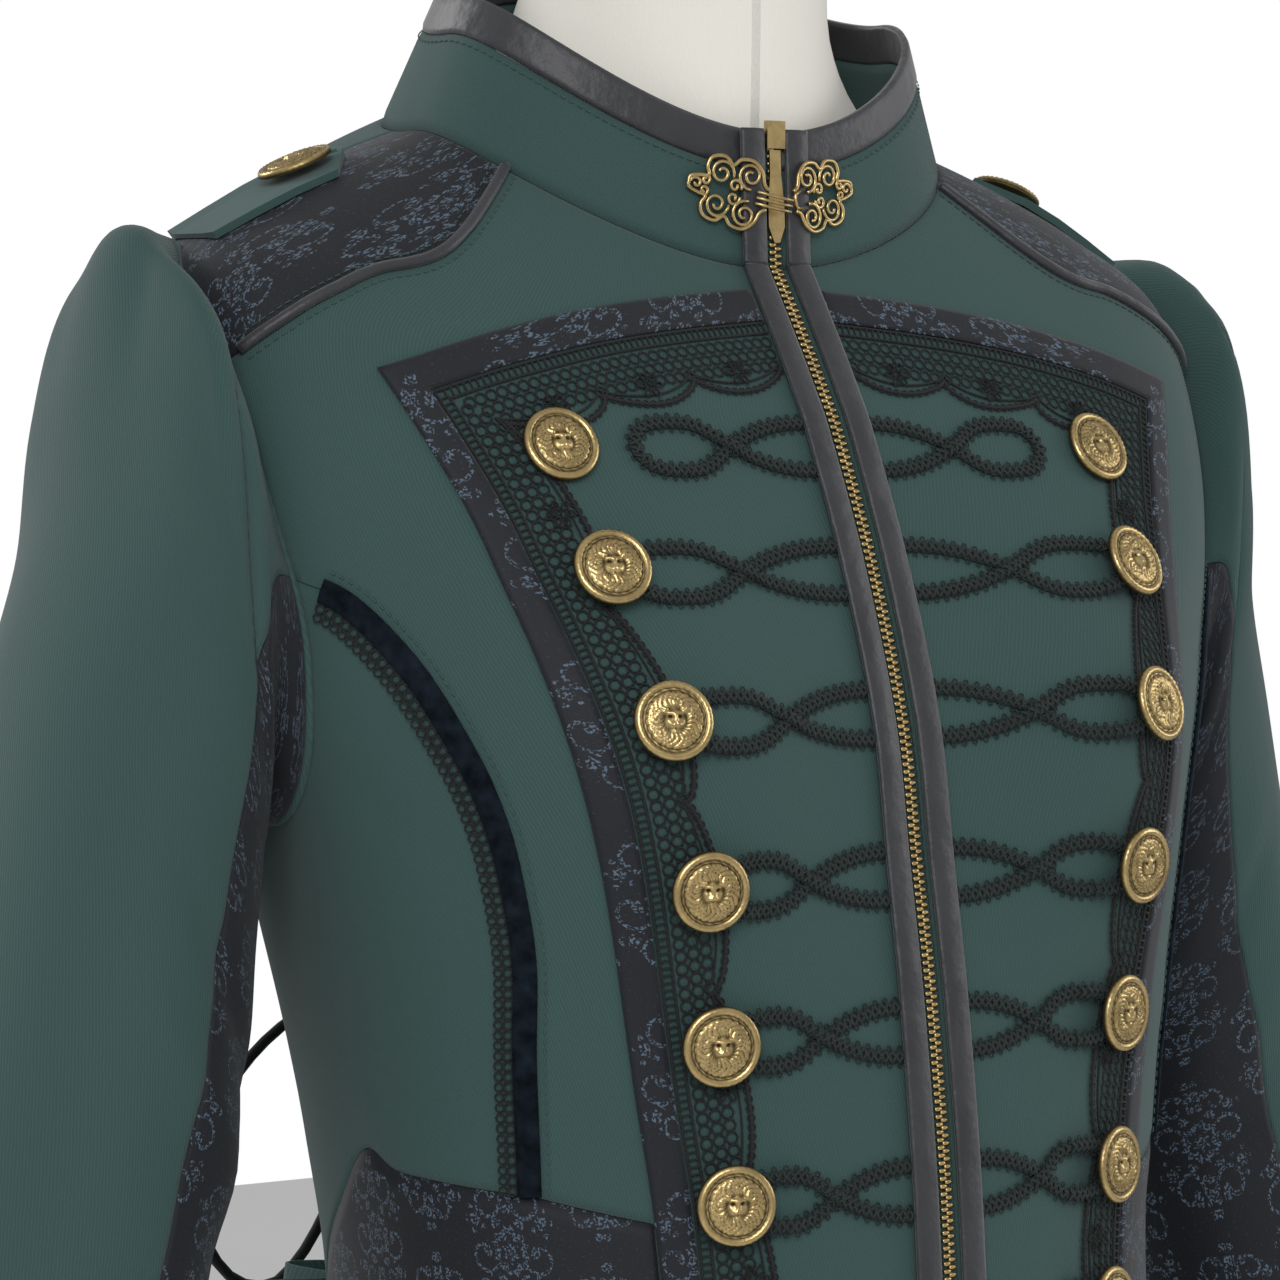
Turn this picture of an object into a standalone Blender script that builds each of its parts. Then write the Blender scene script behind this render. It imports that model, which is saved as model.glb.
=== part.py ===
"""Long military jacket on a dress form.

The jacket is cut from cloth walls that follow one shell surface, shell(phi, v).
phi is the angle round the body, 0 at the centre front and positive towards the
wearer's left. v runs down the rings of BODY_RINGS: -1 is the collar's top edge,
0 the collar seam and 13 the hem. Each panel is a grid of surface points between
its seams, moved out and in to give the wall. Trims use the same points, moved out.
The form's own frame has its origin under the stand's base, +Z up, front at -Y.
Lengths in the tables are in millimetres.
"""
import math

import bmesh
import bpy
import numpy as np

MM = 0.001

# Cloth, gaps and the levels of what lies on the panels
CLOTH = 1.6
COLLAR_CLOTH = 1.9
HALF_GAP = 0.15
TRIM_BASE = 0.7
TRIM_TOP = 1.9
OVER_LACE = 0.4
BRAID_THICK = 1.3
ZIP_TOP = 0.9
STRIP_BASE = 1.75
STRIP_TOP = 2.8

# Widths of the trims
ZIP_HALF = 3.8
FRONT_EDGE = 4.2
STRIP_EDGE = 13.2
BORDER_WIDTH = 10.5
LACE_WIDTH = 21.0
VELVET_WIDTH = 7.6
EDGING_WIDTH = 7.4
PIPING_WIDTH = 3.6
PIPING_BASE = 1.2
PIPING_TOP = 2.8
BRAID_WIDTH = 8.2
BINDING_HEIGHT = 12.8
COLLAR_HEIGHT = 45.0

# Levels
HEM_Z = 600.0
FRONT_HIP_Z = 1060.0
ZIP_END_Z = 930.0

# Rings of the shell, seam of the collar to the hem:
# side z, front z, back z, half width, front y, side y, back y, power
COLLAR_TOP = np.array([1446, 1402, 1467, 86, -15, 39, 93, 2.2], float)
BODY_RINGS = np.array([
    (1402, 1357, 1423, 101, -17, 45, 112, 2.40),
    (1392, 1336, 1413, 127, -31, 43, 121, 2.30),
    (1376, 1317, 1395, 160, -43, 40, 128, 2.30),
    (1352, 1301, 1366, 192, -52, 38, 132, 2.40),
    (1300, 1262, 1300, 197, -69, 34, 134, 2.60),
    (1235, 1213, 1235, 184, -85, 26, 132, 2.60),
    (1180, 1168, 1180, 168, -93, 18, 126, 2.50),
    (1130, 1125, 1130, 156, -101, 12, 118, 2.40),
    (1075, 1073, 1075, 147, -108, 8, 110, 2.30),
    (1017, 1017, 1017, 143, -113, 5, 104, 2.20),
    (960, 960, 960, 155, -121, 5, 116, 2.20),
    (880, 880, 880, 180, -136, 5, 140, 2.20),
    (760, 760, 760, 213, -160, 5, 172, 2.20),
    (600, 600, 600, 250, -190, 5, 208, 2.20),
], float)
# The bust's rise over the rings: centre x, centre z, width, height, rise
BUST = (86.0, 1200.0, 48.0, 66.0, 17.0)

# Armhole round the shell: turn from the shoulder tip and phi, both in degrees, and v
ARMHOLE = np.array([
    (0, 97.0, 2.72), (22, 84.5, 3.10), (45, 74.0, 3.45), (68, 68.0, 3.80),
    (90, 65.6, 4.30), (112, 66.0, 4.85), (135, 72.0, 5.45), (158, 81.0, 5.85),
    (180, 91.0, 5.98), (202, 101.0, 5.85), (225, 110.0, 5.45), (248, 115.5, 4.85),
    (270, 117.0, 4.25), (292, 114.5, 3.65), (315, 109.0, 3.15), (338, 103.0, 2.82),
], float)

# Sleeve rings from the cap to the cuff:
# outer x, outer z, inner x, inner z, middle y, half depth
SLEEVE_RINGS = np.array([
    (209, 1362, 179, 1186, 40, 63),
    (217, 1326, 180, 1171, 45, 67),
    (223, 1278, 178, 1152, 48, 66),
    (239, 1225, 176, 1129, 50, 64),
    (253, 1165, 177, 1098, 49, 62),
    (271, 1090, 186, 1050, 46, 59),
    (294, 1010, 208, 977, 42, 56),
    (319, 925, 236, 894, 37, 52),
    (345, 832, 268, 804, 32, 46),
], float)
# The sleeve's edge lies over the body's by this much
SLEEVE_LIFT = 2.0
CAP_GATHERS = 7
CAP_GATHER_RISE = 2.4
# Turns round the armhole where the body's seams and the sleeve's seams meet it
YOKE_BACK_TURN = -22.0
YOKE_FRONT_TURN = 50.0
FRONT_SEAM_TURN = 101.0
BACK_SEAM_TURN = 248.0

# Seams and trims on the front: x and z of the points they run through
PIPING_LINE = np.array([(90, 1370), (120, 1361), (146, 1353), (163, 1346), (177, 1338), (188, 1329)], float)
PRINCESS_LINE = np.array([
    (171, 1250), (157, 1230), (145, 1205), (137, 1183), (132, 1161), (128.5, 1139),
    (126.5, 1106), (124, 1069),
], float)
BORDER_TOP = np.array([(STRIP_EDGE + 0.4, 1349.5), (50, 1346), (84, 1341), (120, 1333), (157, 1322)], float)
BORDER_SIDE = np.array([
    (157, 1322), (147, 1298), (139, 1277), (133.5, 1257), (128, 1237), (120, 1203), (113.5, 1174),
    (107, 1140), (101, 1103), (95, 1061), (92, 1017), (96, 960), (107, 880), (124, 760), (140, 601),
], float)
# Hip panel's top edge on the side: phi in degrees and z
HIP_TOP = np.array([
    (61, 1070), (70, 1071.5), (78, 1073), (85, 1078), (95.5, 1060), (107, 1041), (118, 1020),
], float)
SIDE_BACK_PHI = 118.0
# Bends of the side-back seam and of the shoulder seam: phi in degrees and v
SIDE_BACK_BENDS = ((119.0, 6.5), (119.0, 8.0))
SHOULDER_PHI = 100.0
SHOULDER_BEND = (101.0, 1.4)
BACK_END_Z = 997.0

# Button rows on the front: x and z
BUTTON_ROWS = np.array([
    (106.5, 1298), (102, 1259), (94, 1214), (84, 1164), (78, 1116), (73.5, 1067), (69, 1022),
], float)
BUTTON_BASE = 3.9
# The first button has no braid under it
FIRST_BUTTON_BASE = 0.4
BUTTON_SIDES = 9
# Outline of a button: radius and height over its seat
BUTTON_PROFILE = [(3.2, 0.0), (3.2, 1.6), (12.4, 1.9), (12.5, 3.6), (9.7, 3.2), (5.6, 5.7)]

# Frogs: end of the free first loop, share of the length at the crossing
FIRST_LOOP_END = 82.0
CROSSING_SHARE = 0.45
FROG_HALF_HEIGHT = 7.6
TAPE_EDGES = (7.4, 10.6)
TAPE_TOP = 1.2

# Back skirt's organ pleats
PLEATS = 8
PLEAT_DEPTH = 32.0
PLEAT_BASE = 2.7
PLEAT_STEPS = 6
# Degrees by which the skirt laps over the hip panels
PLEAT_LAP = 0.7
PLEAT_ROWS = np.array([1023, 960, 860, 730, HEM_Z + 1])

# Lacing at the centre back
LACING_HALF = 31.0
LACING_TOP_Z = 1208.0
LACING_PITCH = 27.0
LACING_RUNS = 5
CORD_RADIUS = 1.9
CORD_GAP = 0.35
CORD_SPACING = 11.4
# Bow's cord on the wearer's right: x, y and z of its route, tip to knot
BOW_ROUTE = np.array([
    (-28, 166, 925), (-27, 159, 952), (-25, 153, 985), (-22, 148, 1018), (-17, 138, 1046),
    (-12, 126, 1070), (-16, 124, 1086), (-34, 130, 1102), (-62, 135, 1110), (-92, 134, 1104),
    (-118, 130, 1087), (-137, 123, 1063), (-140, 120, 1038), (-127, 123, 1018), (-108, 128, 1012),
    (-92, 132, 1022), (-78, 133, 1042), (-62, 132, 1058), (-40, 128, 1072), (-10.1, 124, 1077),
], float)
KNOT_PLACE = (0.0, 123.6, 1077.4)
KNOT_SIZE = (10.8, 5.8, 8.8)

# Dress form: neck rings over the shell, columns as in BODY_RINGS
FORM_NECK = np.array([
    (1522, 1522, 1522, 50, -8, 40, 88, 2.0),
    (1480, 1474, 1484, 52, -10, 40, 90, 2.0),
    (1444, 1410, 1460, 54, -9, 40, 91, 2.0),
    (1414, 1374, 1434, 72, -9, 41, 97, 2.2),
], float)
FORM_CENTRE_Y = 40.0
FORM_CAP_SHARE = 0.6
FORM_CAP_RISE = 6.0
# Rings of the form under the cloth: v and depth under the shell
FORM_BODY = np.array([
    (0.5, 6.0), (1.0, 3.4), (1.7, 3.2), (2.4, 4.0), (3.1, 5.2), (4.0, 5.0), (5.0, 4.4), (6.0, 4.8),
    (7.5, 6.0), (9.0, 7.0), (10.0, 8.0), (11.0, 14.0),
], float)
FORM_BASE_Z = 860.0
FORM_BASE_SHARE = 0.86
FORM_SIDES = 20
# Stand, from its base's edge to the pole's top: radius and z
STAND_PROFILE = [(170, 0), (170, 8), (150, 17), (30, 25), (12.5, 40), (12.5, 859.7)]
STAND_SIDES = 20

# Shoulder straps, clasp, slider and pull
EPAULETTE_HALF = 18.5
# Strap from its point to the sleeve: v and share of the half width
EPAULETTE_ROWS = np.array([(1.02, 0.12), (1.42, 1.0), (1.85, 1.0), (2.25, 1.0), (2.62, 1.0)])
EPAULETTE_BUTTON_V = 1.5

CLASP_PLACE_V = -0.5
CLASP_THICK = 1.5
# Outline of a clasp plate: distance from the centre front and height, upper half
CLASP_OUTLINE = np.array([
    (4.6, 3.4), (7.0, 5.0), (8.5, 9.0), (12.0, 12.0), (16.5, 11.6), (19.0, 9.2), (22.0, 11.4),
    (26.5, 10.4), (28.4, 6.6), (27.0, 3.6), (30.5, 3.4), (34.0, 1.8),
])
HOOK_OUTLINE = np.array([(4.6, 2.6), (-4.0, 2.6)])

PULL_AXIS_V = -0.86
PULL_LENGTH = 30.0
PULL_WIDTH = 6.4
SLIDER_SIZE = (7.2, 2.0, 9.0)

# Colours: red, green, blue, roughness, metallic
FINISHES = {
    "green_twill": (0.022, 0.085, 0.075, 0.85, 0.0),
    "brocade": (0.018, 0.020, 0.030, 0.70, 0.0),
    "satin": (0.020, 0.021, 0.025, 0.45, 0.0),
    "velvet": (0.004, 0.005, 0.008, 0.95, 0.0),
    "black_lace": (0.006, 0.007, 0.008, 0.80, 0.0),
    "braid": (0.006, 0.012, 0.012, 0.75, 0.0),
    "linen": (0.78, 0.72, 0.62, 0.90, 0.0),
    "antique_brass": (0.36, 0.25, 0.10, 0.38, 1.0),
    "stand_metal": (0.55, 0.55, 0.54, 0.30, 1.0),
}


def clear_scene():
    """Empty the scene and its meshes."""
    for item in list(bpy.data.objects):
        bpy.data.objects.remove(item, do_unlink=True)
    for mesh in list(bpy.data.meshes):
        bpy.data.meshes.remove(mesh)


def finish(name):
    """Material of that name, made on its first use."""
    material = bpy.data.materials.get(name)
    if material is None:
        material = bpy.data.materials.new(name)
        material.use_nodes = True
        shader = material.node_tree.nodes["Principled BSDF"]
        red, green, blue, rough, metal = FINISHES[name]
        shader.inputs["Base Color"].default_value = (red, green, blue, 1.0)
        shader.inputs["Roughness"].default_value = rough
        shader.inputs["Metallic"].default_value = metal
    return material


def table_at(table, place):
    """Smooth value of a table at fractional row numbers."""
    last = len(table) - 1
    place = np.clip(np.asarray(place, float), 0.0, last - 1e-9)
    low = place.astype(int)
    t = (place - low)[..., None]
    before = table[np.maximum(low - 1, 0)]
    start = table[low]
    end = table[low + 1]
    after = table[np.minimum(low + 2, last)]
    leave = (end - before) / 2
    arrive = (after - start) / 2
    return ((2 * t**3 - 3 * t**2 + 1) * start + (t**3 - 2 * t**2 + t) * leave
            + (3 * t**2 - 2 * t**3) * end + (t**3 - t**2) * arrive)


def ring_at(v):
    """Ring values at v; the collar's stretch is straight."""
    v = np.asarray(v, float)
    body = table_at(BODY_RINGS, np.maximum(v, 0.0))
    share = np.clip(-v, 0.0, 1.0)[..., None]
    return body * (1 - share) + COLLAR_TOP * share


def ring_point(ring, phi):
    """Point at the angle phi on an egg-shaped ring."""
    sine, cosine = np.sin(phi), np.cos(phi)
    power = ring[..., 7]
    reach = (np.abs(sine)**power + np.abs(cosine)**power)**(1 / power)
    depth = np.where(cosine > 0, ring[..., 5] - ring[..., 4], ring[..., 6] - ring[..., 5])
    front = np.maximum(cosine, 0)**2
    back = np.maximum(-cosine, 0)**2
    height = (ring[..., 0] + (ring[..., 1] - ring[..., 0]) * front
              + (ring[..., 2] - ring[..., 0]) * back)
    return ring[..., 3] * sine / reach, ring[..., 5] - depth * cosine / reach, height


def shell(phi, v):
    """Point of the jacket's outer shell."""
    phi, v = np.broadcast_arrays(np.asarray(phi, float), np.asarray(v, float))
    x, y, z = ring_point(ring_at(v), phi)
    centre_x, centre_z, width, height, rise = BUST
    bump = rise * np.exp(-((np.abs(x) - centre_x) / width)**2 - ((z - centre_z) / height)**2)
    y = y - bump * np.clip(3 * np.cos(phi), 0, 1)
    return np.stack([x, y, z], -1)


def slopes(place, u, w):
    """Central differences of a surface along its two coordinates."""
    step_u, step_w = 0.004, 0.02
    along_u = (place(u + step_u, w) - place(u - step_u, w)) / (2 * step_u)
    along_w = (place(u, w + step_w) - place(u, w - step_w)) / (2 * step_w)
    return along_u, along_w


def outward(place, u, w):
    """Unit normal of a surface, on the outer side."""
    along_u, along_w = slopes(place, u, w)
    normal = np.cross(along_w, along_u)
    return normal / np.linalg.norm(normal, axis=-1, keepdims=True)


def phi_across(x, v):
    """Angle at which the ring v of the front reaches x."""
    ring = ring_at(v)
    share = np.clip(np.abs(x) / ring[..., 3], 0, 0.9999)
    power = ring[..., 7]
    return np.sign(x) * np.arctan(share / (1 - share**power)**(1 / power))


def on_front(x, z):
    """Surface coordinates of the front's point at x and z."""
    x, z = np.broadcast_arrays(np.asarray(x, float), np.asarray(z, float))
    low, high = np.zeros(x.shape), np.full(x.shape, len(BODY_RINGS) - 1.0)
    for _ in range(44):
        middle = (low + high) / 2
        above = shell(phi_across(x, middle), middle)[..., 2] > z
        low = np.where(above, middle, low)
        high = np.where(above, high, middle)
    return np.stack([phi_across(x, low), low], -1)


def at_height(phi, z):
    """Surface coordinates at the angle phi and the height z."""
    phi, z = np.broadcast_arrays(np.asarray(phi, float), np.asarray(z, float))
    low, high = np.zeros(phi.shape), np.full(phi.shape, len(BODY_RINGS) - 1.0)
    for _ in range(44):
        middle = (low + high) / 2
        above = shell(phi, middle)[..., 2] > z
        low = np.where(above, middle, low)
        high = np.where(above, high, middle)
    return np.stack([phi, low], -1)


def resample(points, steps):
    """Smooth curve through the points at steps + 1 even places along it."""
    points = np.asarray(points, float)
    dense = table_at(points, np.linspace(0, len(points) - 1, 24 * len(points)))
    dense[-1] = points[-1]
    scale = np.array([120.0, 40.0]) if points.shape[1] == 2 and np.abs(points).max() < 40 else 1.0
    length = np.concatenate([[0], np.cumsum(np.linalg.norm(np.diff(dense * scale, axis=0), axis=1))])
    wanted = np.linspace(0, length[-1], steps + 1)
    return np.stack([np.interp(wanted, length, dense[:, k]) for k in range(points.shape[1])], -1)


def beside(curve, distance):
    """Curve moved sideways on the shell; positive is to the left, seen from outside."""
    spots = shell(curve[:, 0], curve[:, 1])
    along = np.gradient(spots, axis=0)
    along /= np.linalg.norm(along, axis=1, keepdims=True)
    side = np.cross(outward(shell, curve[:, 0], curve[:, 1]), along)
    slope_u, slope_w = slopes(shell, curve[:, 0], curve[:, 1])
    moved = curve.copy()
    for k in range(len(curve)):
        frame = np.stack([slope_u[k], slope_w[k]], -1)
        moved[k] += np.linalg.lstsq(frame, side[k] * distance, rcond=None)[0]
    return moved


def patch_between(top, bottom, left, right):
    """Grid of coordinates filled between four seams."""
    rows, columns = len(left), len(top)
    s = np.linspace(0, 1, columns)[None, :, None]
    t = np.linspace(0, 1, rows)[:, None, None]
    across = (1 - t) * top[None] + t * bottom[None]
    down = (1 - s) * left[:, None] + s * right[:, None]
    corners = ((1 - s) * (1 - t) * top[0] + s * (1 - t) * top[-1]
               + (1 - s) * t * bottom[0] + s * t * bottom[-1])
    return across + down - corners


def strip(edge_a, edge_b, parts=1):
    """Grid between two curves of equal count."""
    shares = np.linspace(0, 1, parts + 1)[None, :, None]
    return edge_a[:, None] * (1 - shares) + edge_b[:, None] * shares


def levels(grid, top, base):
    """Grid with its outer and inner levels beside the coordinates."""
    shape = grid.shape[:2]
    top = np.broadcast_to(top, shape)[..., None]
    base = np.broadcast_to(base, shape)[..., None]
    return np.concatenate([grid, top, base], -1)


def mirrored(grids):
    """The same grids on the wearer's right."""
    flipped = []
    for grid in grids:
        copy = grid.copy()
        copy[..., 0] *= -1
        flipped.append(copy)
    return flipped


def edge_moves(spots, normals, faces):
    """Moves that draw a sheet's edges in by half a seam gap."""
    moves = np.zeros_like(spots)
    sides = {}
    for face in faces:
        for k, start in enumerate(face):
            sides[(start, face[(k + 1) % len(face)])] = True
    following = {a: b for (a, b) in sides if (b, a) not in sides}
    leading = {b: a for a, b in following.items()}
    for spot, after in following.items():
        before = leading[spot]
        pair = []
        for a, b in ((before, spot), (spot, after)):
            along = spots[b] - spots[a]
            side = np.cross(normals[spot], along)
            pair.append(side / np.linalg.norm(side))
        inward = (pair[0] + pair[1]) / max(1 + pair[0] @ pair[1], 0.3)
        moves[spot] = inward * HALF_GAP
    return moves, following


def wall(name, grids, material, place=shell, skip=()):
    """Cloth wall over grids of (u, w, outer level, inner level) points."""
    numbers, points = {}, []
    sheets = []
    for grid_number, grid in enumerate(grids):
        rows, columns = grid.shape[:2]
        index = np.zeros((rows, columns), int)
        for i in range(rows):
            for j in range(columns):
                key = (round(grid[i, j, 0], 6), round(grid[i, j, 1], 5))
                if key not in numbers:
                    numbers[key] = len(points)
                    points.append(grid[i, j])
                index[i, j] = numbers[key]
        sheet = []
        for i in range(rows - 1):
            for j in range(columns - 1):
                if (grid_number, i, j) in skip:
                    continue
                corners = [index[i, j], index[i, j + 1], index[i + 1, j + 1], index[i + 1, j]]
                ring = [c for k, c in enumerate(corners) if c != corners[k - 1]]
                if len(ring) > 2:
                    sheet.append(ring)
        sheets.append(sheet)
    points = np.array(points)
    spots = place(points[:, 0], points[:, 1])
    normals = outward(place, points[:, 0], points[:, 1])
    faces = []
    for sheet in sheets:
        a, b, c = (spots[[face[k] for face in sheet]] for k in (0, 1, -1))
        facing = np.einsum("ij,ij->i", np.cross(b - a, c - a), normals[[face[0] for face in sheet]])
        faces += sheet if facing.sum() > 0 else [face[::-1] for face in sheet]
    moves, following = edge_moves(spots, normals, faces)
    outer = spots + moves + normals * points[:, 2:3]
    inner = spots + moves + normals * points[:, 3:4]
    count = len(points)
    solid = list(faces) + [[k + count for k in face[::-1]] for face in faces]
    solid += [[b, a, a + count, b + count] for a, b in following.items()]
    return mesh_object(name, np.concatenate([outer, inner]), solid, material)


def mesh_object(name, points, faces, material):
    """Named object from points in millimetres."""
    mesh = bpy.data.meshes.new(name)
    mesh.from_pydata([tuple(float(c) * MM for c in p) for p in points], [], faces)
    mesh.validate()
    mesh.materials.append(finish(material))
    item = bpy.data.objects.new(name, mesh)
    bpy.context.scene.collection.objects.link(item)
    shape = bmesh.new()
    shape.from_mesh(mesh)
    loose = [vertex for vertex in shape.verts if not vertex.link_faces]
    bmesh.ops.delete(shape, geom=loose, context="VERTS")
    bmesh.ops.recalc_face_normals(shape, faces=shape.faces)
    bmesh.ops.triangulate(shape, faces=shape.faces)
    shape.to_mesh(mesh)
    shape.free()
    mesh.shade_smooth()
    mesh.set_sharp_from_angle(angle=math.radians(40))
    return item


def lofted(name, rings, material):
    """Closed solid through rings of equal count, flat at both ends."""
    sides = len(rings[0])
    faces = [list(range(sides))]
    for k in range(len(rings) - 1):
        for j in range(sides):
            after = (j + 1) % sides
            faces.append([k * sides + j, k * sides + after, (k + 1) * sides + after, (k + 1) * sides + j])
    faces.append([(len(rings) - 1) * sides + j for j in range(sides)][::-1])
    return mesh_object(name, np.concatenate(rings), faces, material)


def turned_rings(profile, sides, origin, out, up):
    """Rings of a turned profile of (radius, height) about a direction."""
    right = np.cross(up, out)
    rings = []
    for radius, height in profile:
        angles = np.linspace(0, 2 * math.pi, sides, endpoint=False)
        flat = np.cos(angles)[:, None] * right + np.sin(angles)[:, None] * up
        rings.append(origin + flat * radius + out * height)
    return rings


def seat_frame(phi, v, height):
    """Place over the shell with its outward and upward directions."""
    phi, v = np.array([phi]), np.array([v])
    out = outward(shell, phi, v)[0]
    up = np.array([0, 0, 1.0]) - out * out[2]
    up /= np.linalg.norm(up)
    return shell(phi, v)[0] + out * height, out, up


def armhole_at(turn):
    """Shell coordinates of the armhole at a turn in degrees."""
    looped = np.concatenate([ARMHOLE[-2:], ARMHOLE, ARMHOLE[:3]])
    turns = looped[:, 0].copy()
    turns[:2] -= 360
    turns[-3:] += 360
    turn = np.mod(np.asarray(turn, float), 360)
    rows = np.interp(turn, turns, np.arange(len(turns)))
    values = table_at(looped[:, 1:], rows)
    return np.stack([np.radians(values[..., 0]), values[..., 1]], -1)


def armhole_stretch(start, end, steps):
    """Armhole's points between two turns."""
    return armhole_at(np.linspace(start, end, steps + 1))


def sleeve(turn, along):
    """Point of the left sleeve; turn in radians from the outer side, along from the armhole."""
    turn, along = np.broadcast_arrays(np.asarray(turn, float), np.asarray(along, float))
    seam = armhole_at(np.degrees(turn))
    first = shell(seam[..., 0], seam[..., 1])
    first = first + outward(shell, seam[..., 0], seam[..., 1]) * SLEEVE_LIFT
    sine, cosine = np.sin(turn), np.cos(turn)
    reach = (np.abs(sine)**2.2 + np.abs(cosine)**2.2)**(1 / 2.2)
    stack = [first]
    for k, (out_x, out_z, in_x, in_z, mid_y, depth) in enumerate(SLEEVE_RINGS):
        gather = max(0.0, 1 - k / 2.5) * CAP_GATHER_RISE
        swell = gather * np.cos(CAP_GATHERS * turn) * np.clip(np.cos(turn), 0, 1)
        share = cosine / reach
        x = (out_x + in_x) / 2 + (out_x - in_x) / 2 * share + swell * 0.4
        z = (out_z + in_z) / 2 + (out_z - in_z) / 2 * share + swell
        stack.append(np.stack([x, mid_y - depth * sine / reach, z], -1))
    stack = np.stack(stack)
    last = len(stack) - 1
    place = np.clip(along, 0, last - 1e-9)
    low = place.astype(int)
    t = (place - low)[..., None]
    picked = [np.take_along_axis(stack, np.clip(low + shift, 0, last)[None, ..., None], 0)[0]
              for shift in (-1, 0, 1, 2)]
    leave = (picked[2] - picked[0]) / 2
    arrive = (picked[3] - picked[1]) / 2
    smooth = ((2 * t**3 - 3 * t**2 + 1) * picked[1] + (t**3 - 2 * t**2 + t) * leave
              + (3 * t**2 - 2 * t**3) * picked[2] + (t**3 - t**2) * arrive)
    before = np.minimum(along, 0)[..., None] * (stack[1] - stack[0])
    beyond = np.maximum(along - last, 0)[..., None] * (stack[-1] - stack[-2])
    return smooth + before + beyond


def sleeve_right(turn, along):
    """Point of the right sleeve."""
    return sleeve(turn, along) * np.array([-1.0, 1, 1])


class Seams:
    """Curves that neighbouring panels share, on the wearer's left."""

    def __init__(self):
        piping = on_front(PIPING_LINE[:, 0], PIPING_LINE[:, 1])
        piping_top = np.array([phi_across(88.0, 0.0), 0.0])
        armhole_end = armhole_at(YOKE_FRONT_TURN)
        self.piping = resample(np.concatenate([[piping_top], piping[1:], [armhole_end]]), 5)
        princess_start = armhole_at(FRONT_SEAM_TURN)
        princess = on_front(PRINCESS_LINE[:, 0], PRINCESS_LINE[:, 1])
        self.princess = resample(np.concatenate([[princess_start], princess]), 9)
        edge = phi_across(FRONT_EDGE, 0.0)
        angles = np.linspace(edge, piping_top[0], 9)
        self.neck_front = np.stack([angles, np.zeros(9)], -1)
        shoulder_start = np.array([math.radians(SHOULDER_PHI), 0.0])
        angles = np.linspace(piping_top[0], shoulder_start[0], 6)
        self.neck_yoke = np.stack([angles, np.zeros(6)], -1)
        angles = np.linspace(shoulder_start[0], math.pi, 6)
        self.neck_back = np.stack([angles, np.zeros(6)], -1)
        self.armhole_front = armhole_stretch(YOKE_FRONT_TURN, FRONT_SEAM_TURN, 3)
        self.armhole_yoke = armhole_stretch(YOKE_FRONT_TURN, YOKE_BACK_TURN, 5)
        self.armhole_back = armhole_stretch(YOKE_BACK_TURN, BACK_SEAM_TURN - 360, 5)
        self.armhole_side = armhole_stretch(FRONT_SEAM_TURN, BACK_SEAM_TURN, 8)
        bend = (math.radians(SHOULDER_BEND[0]), SHOULDER_BEND[1])
        shoulder = np.stack([shoulder_start, bend, self.armhole_yoke[-1]])
        self.shoulder = resample(shoulder, 5)
        self.hip_side = self.hip_curve()
        bends = [(math.radians(phi), v) for phi, v in SIDE_BACK_BENDS]
        side_back = np.stack([self.armhole_back[-1], *bends, self.hip_side[-1]])
        self.side_back = resample(side_back, 9)
        border = on_front(BORDER_SIDE[9:, 0], BORDER_SIDE[9:, 1])
        self.border_low = resample(border, 8)
        self.hip_front = resample(np.stack([self.border_low[0], self.princess[-1]]), 3)

    def hip_curve(self):
        """Hip panel's top edge from the princess seam to the back."""
        spots = at_height(np.radians(HIP_TOP[:, 0]), HIP_TOP[:, 1])
        spots = np.concatenate([self.princess[-1:], spots[1:]])
        return resample(spots, 8)


def front_grids(seams):
    """The front: chest and plastron over the hip, then its skirt to the hem."""
    right = np.concatenate([seams.piping, seams.armhole_front[1:], seams.princess[1:]])
    bottom_v = on_front(FRONT_EDGE, FRONT_HIP_Z)[1]
    left_v = right[:, 1] * bottom_v / right[-1, 1]
    left = np.stack([phi_across(np.full(len(left_v), FRONT_EDGE), left_v), left_v], -1)
    along = np.linspace(0, 1, 6)[:, None]
    to_border = left[-1] * (1 - along) + seams.border_low[0] * along
    bottom = np.concatenate([to_border, seams.hip_front[1:]])
    chest = patch_between(seams.neck_front, bottom, left, right)
    heights = np.linspace(FRONT_HIP_Z, HEM_Z + 1, len(seams.border_low))
    edge = on_front(np.full(len(heights), FRONT_EDGE), heights)
    edge[0] = left[-1]
    hem = edge[-1] * (1 - along) + seams.border_low[-1] * along
    skirt = patch_between(to_border, hem, edge, seams.border_low)
    return [levels(chest, 0, -CLOTH), levels(skirt, 0, -CLOTH)]


def side_grids(seams):
    """The side panel under the arm."""
    grid = patch_between(seams.armhole_side, seams.hip_side, seams.princess, seams.side_back)
    return [levels(grid, 0, -CLOTH)]


def yoke_grids(seams):
    """The shoulder yoke between the collar and the sleeve."""
    grid = patch_between(seams.neck_yoke, seams.armhole_yoke, seams.piping, seams.shoulder)
    return [levels(grid, 0, -CLOTH)]


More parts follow.
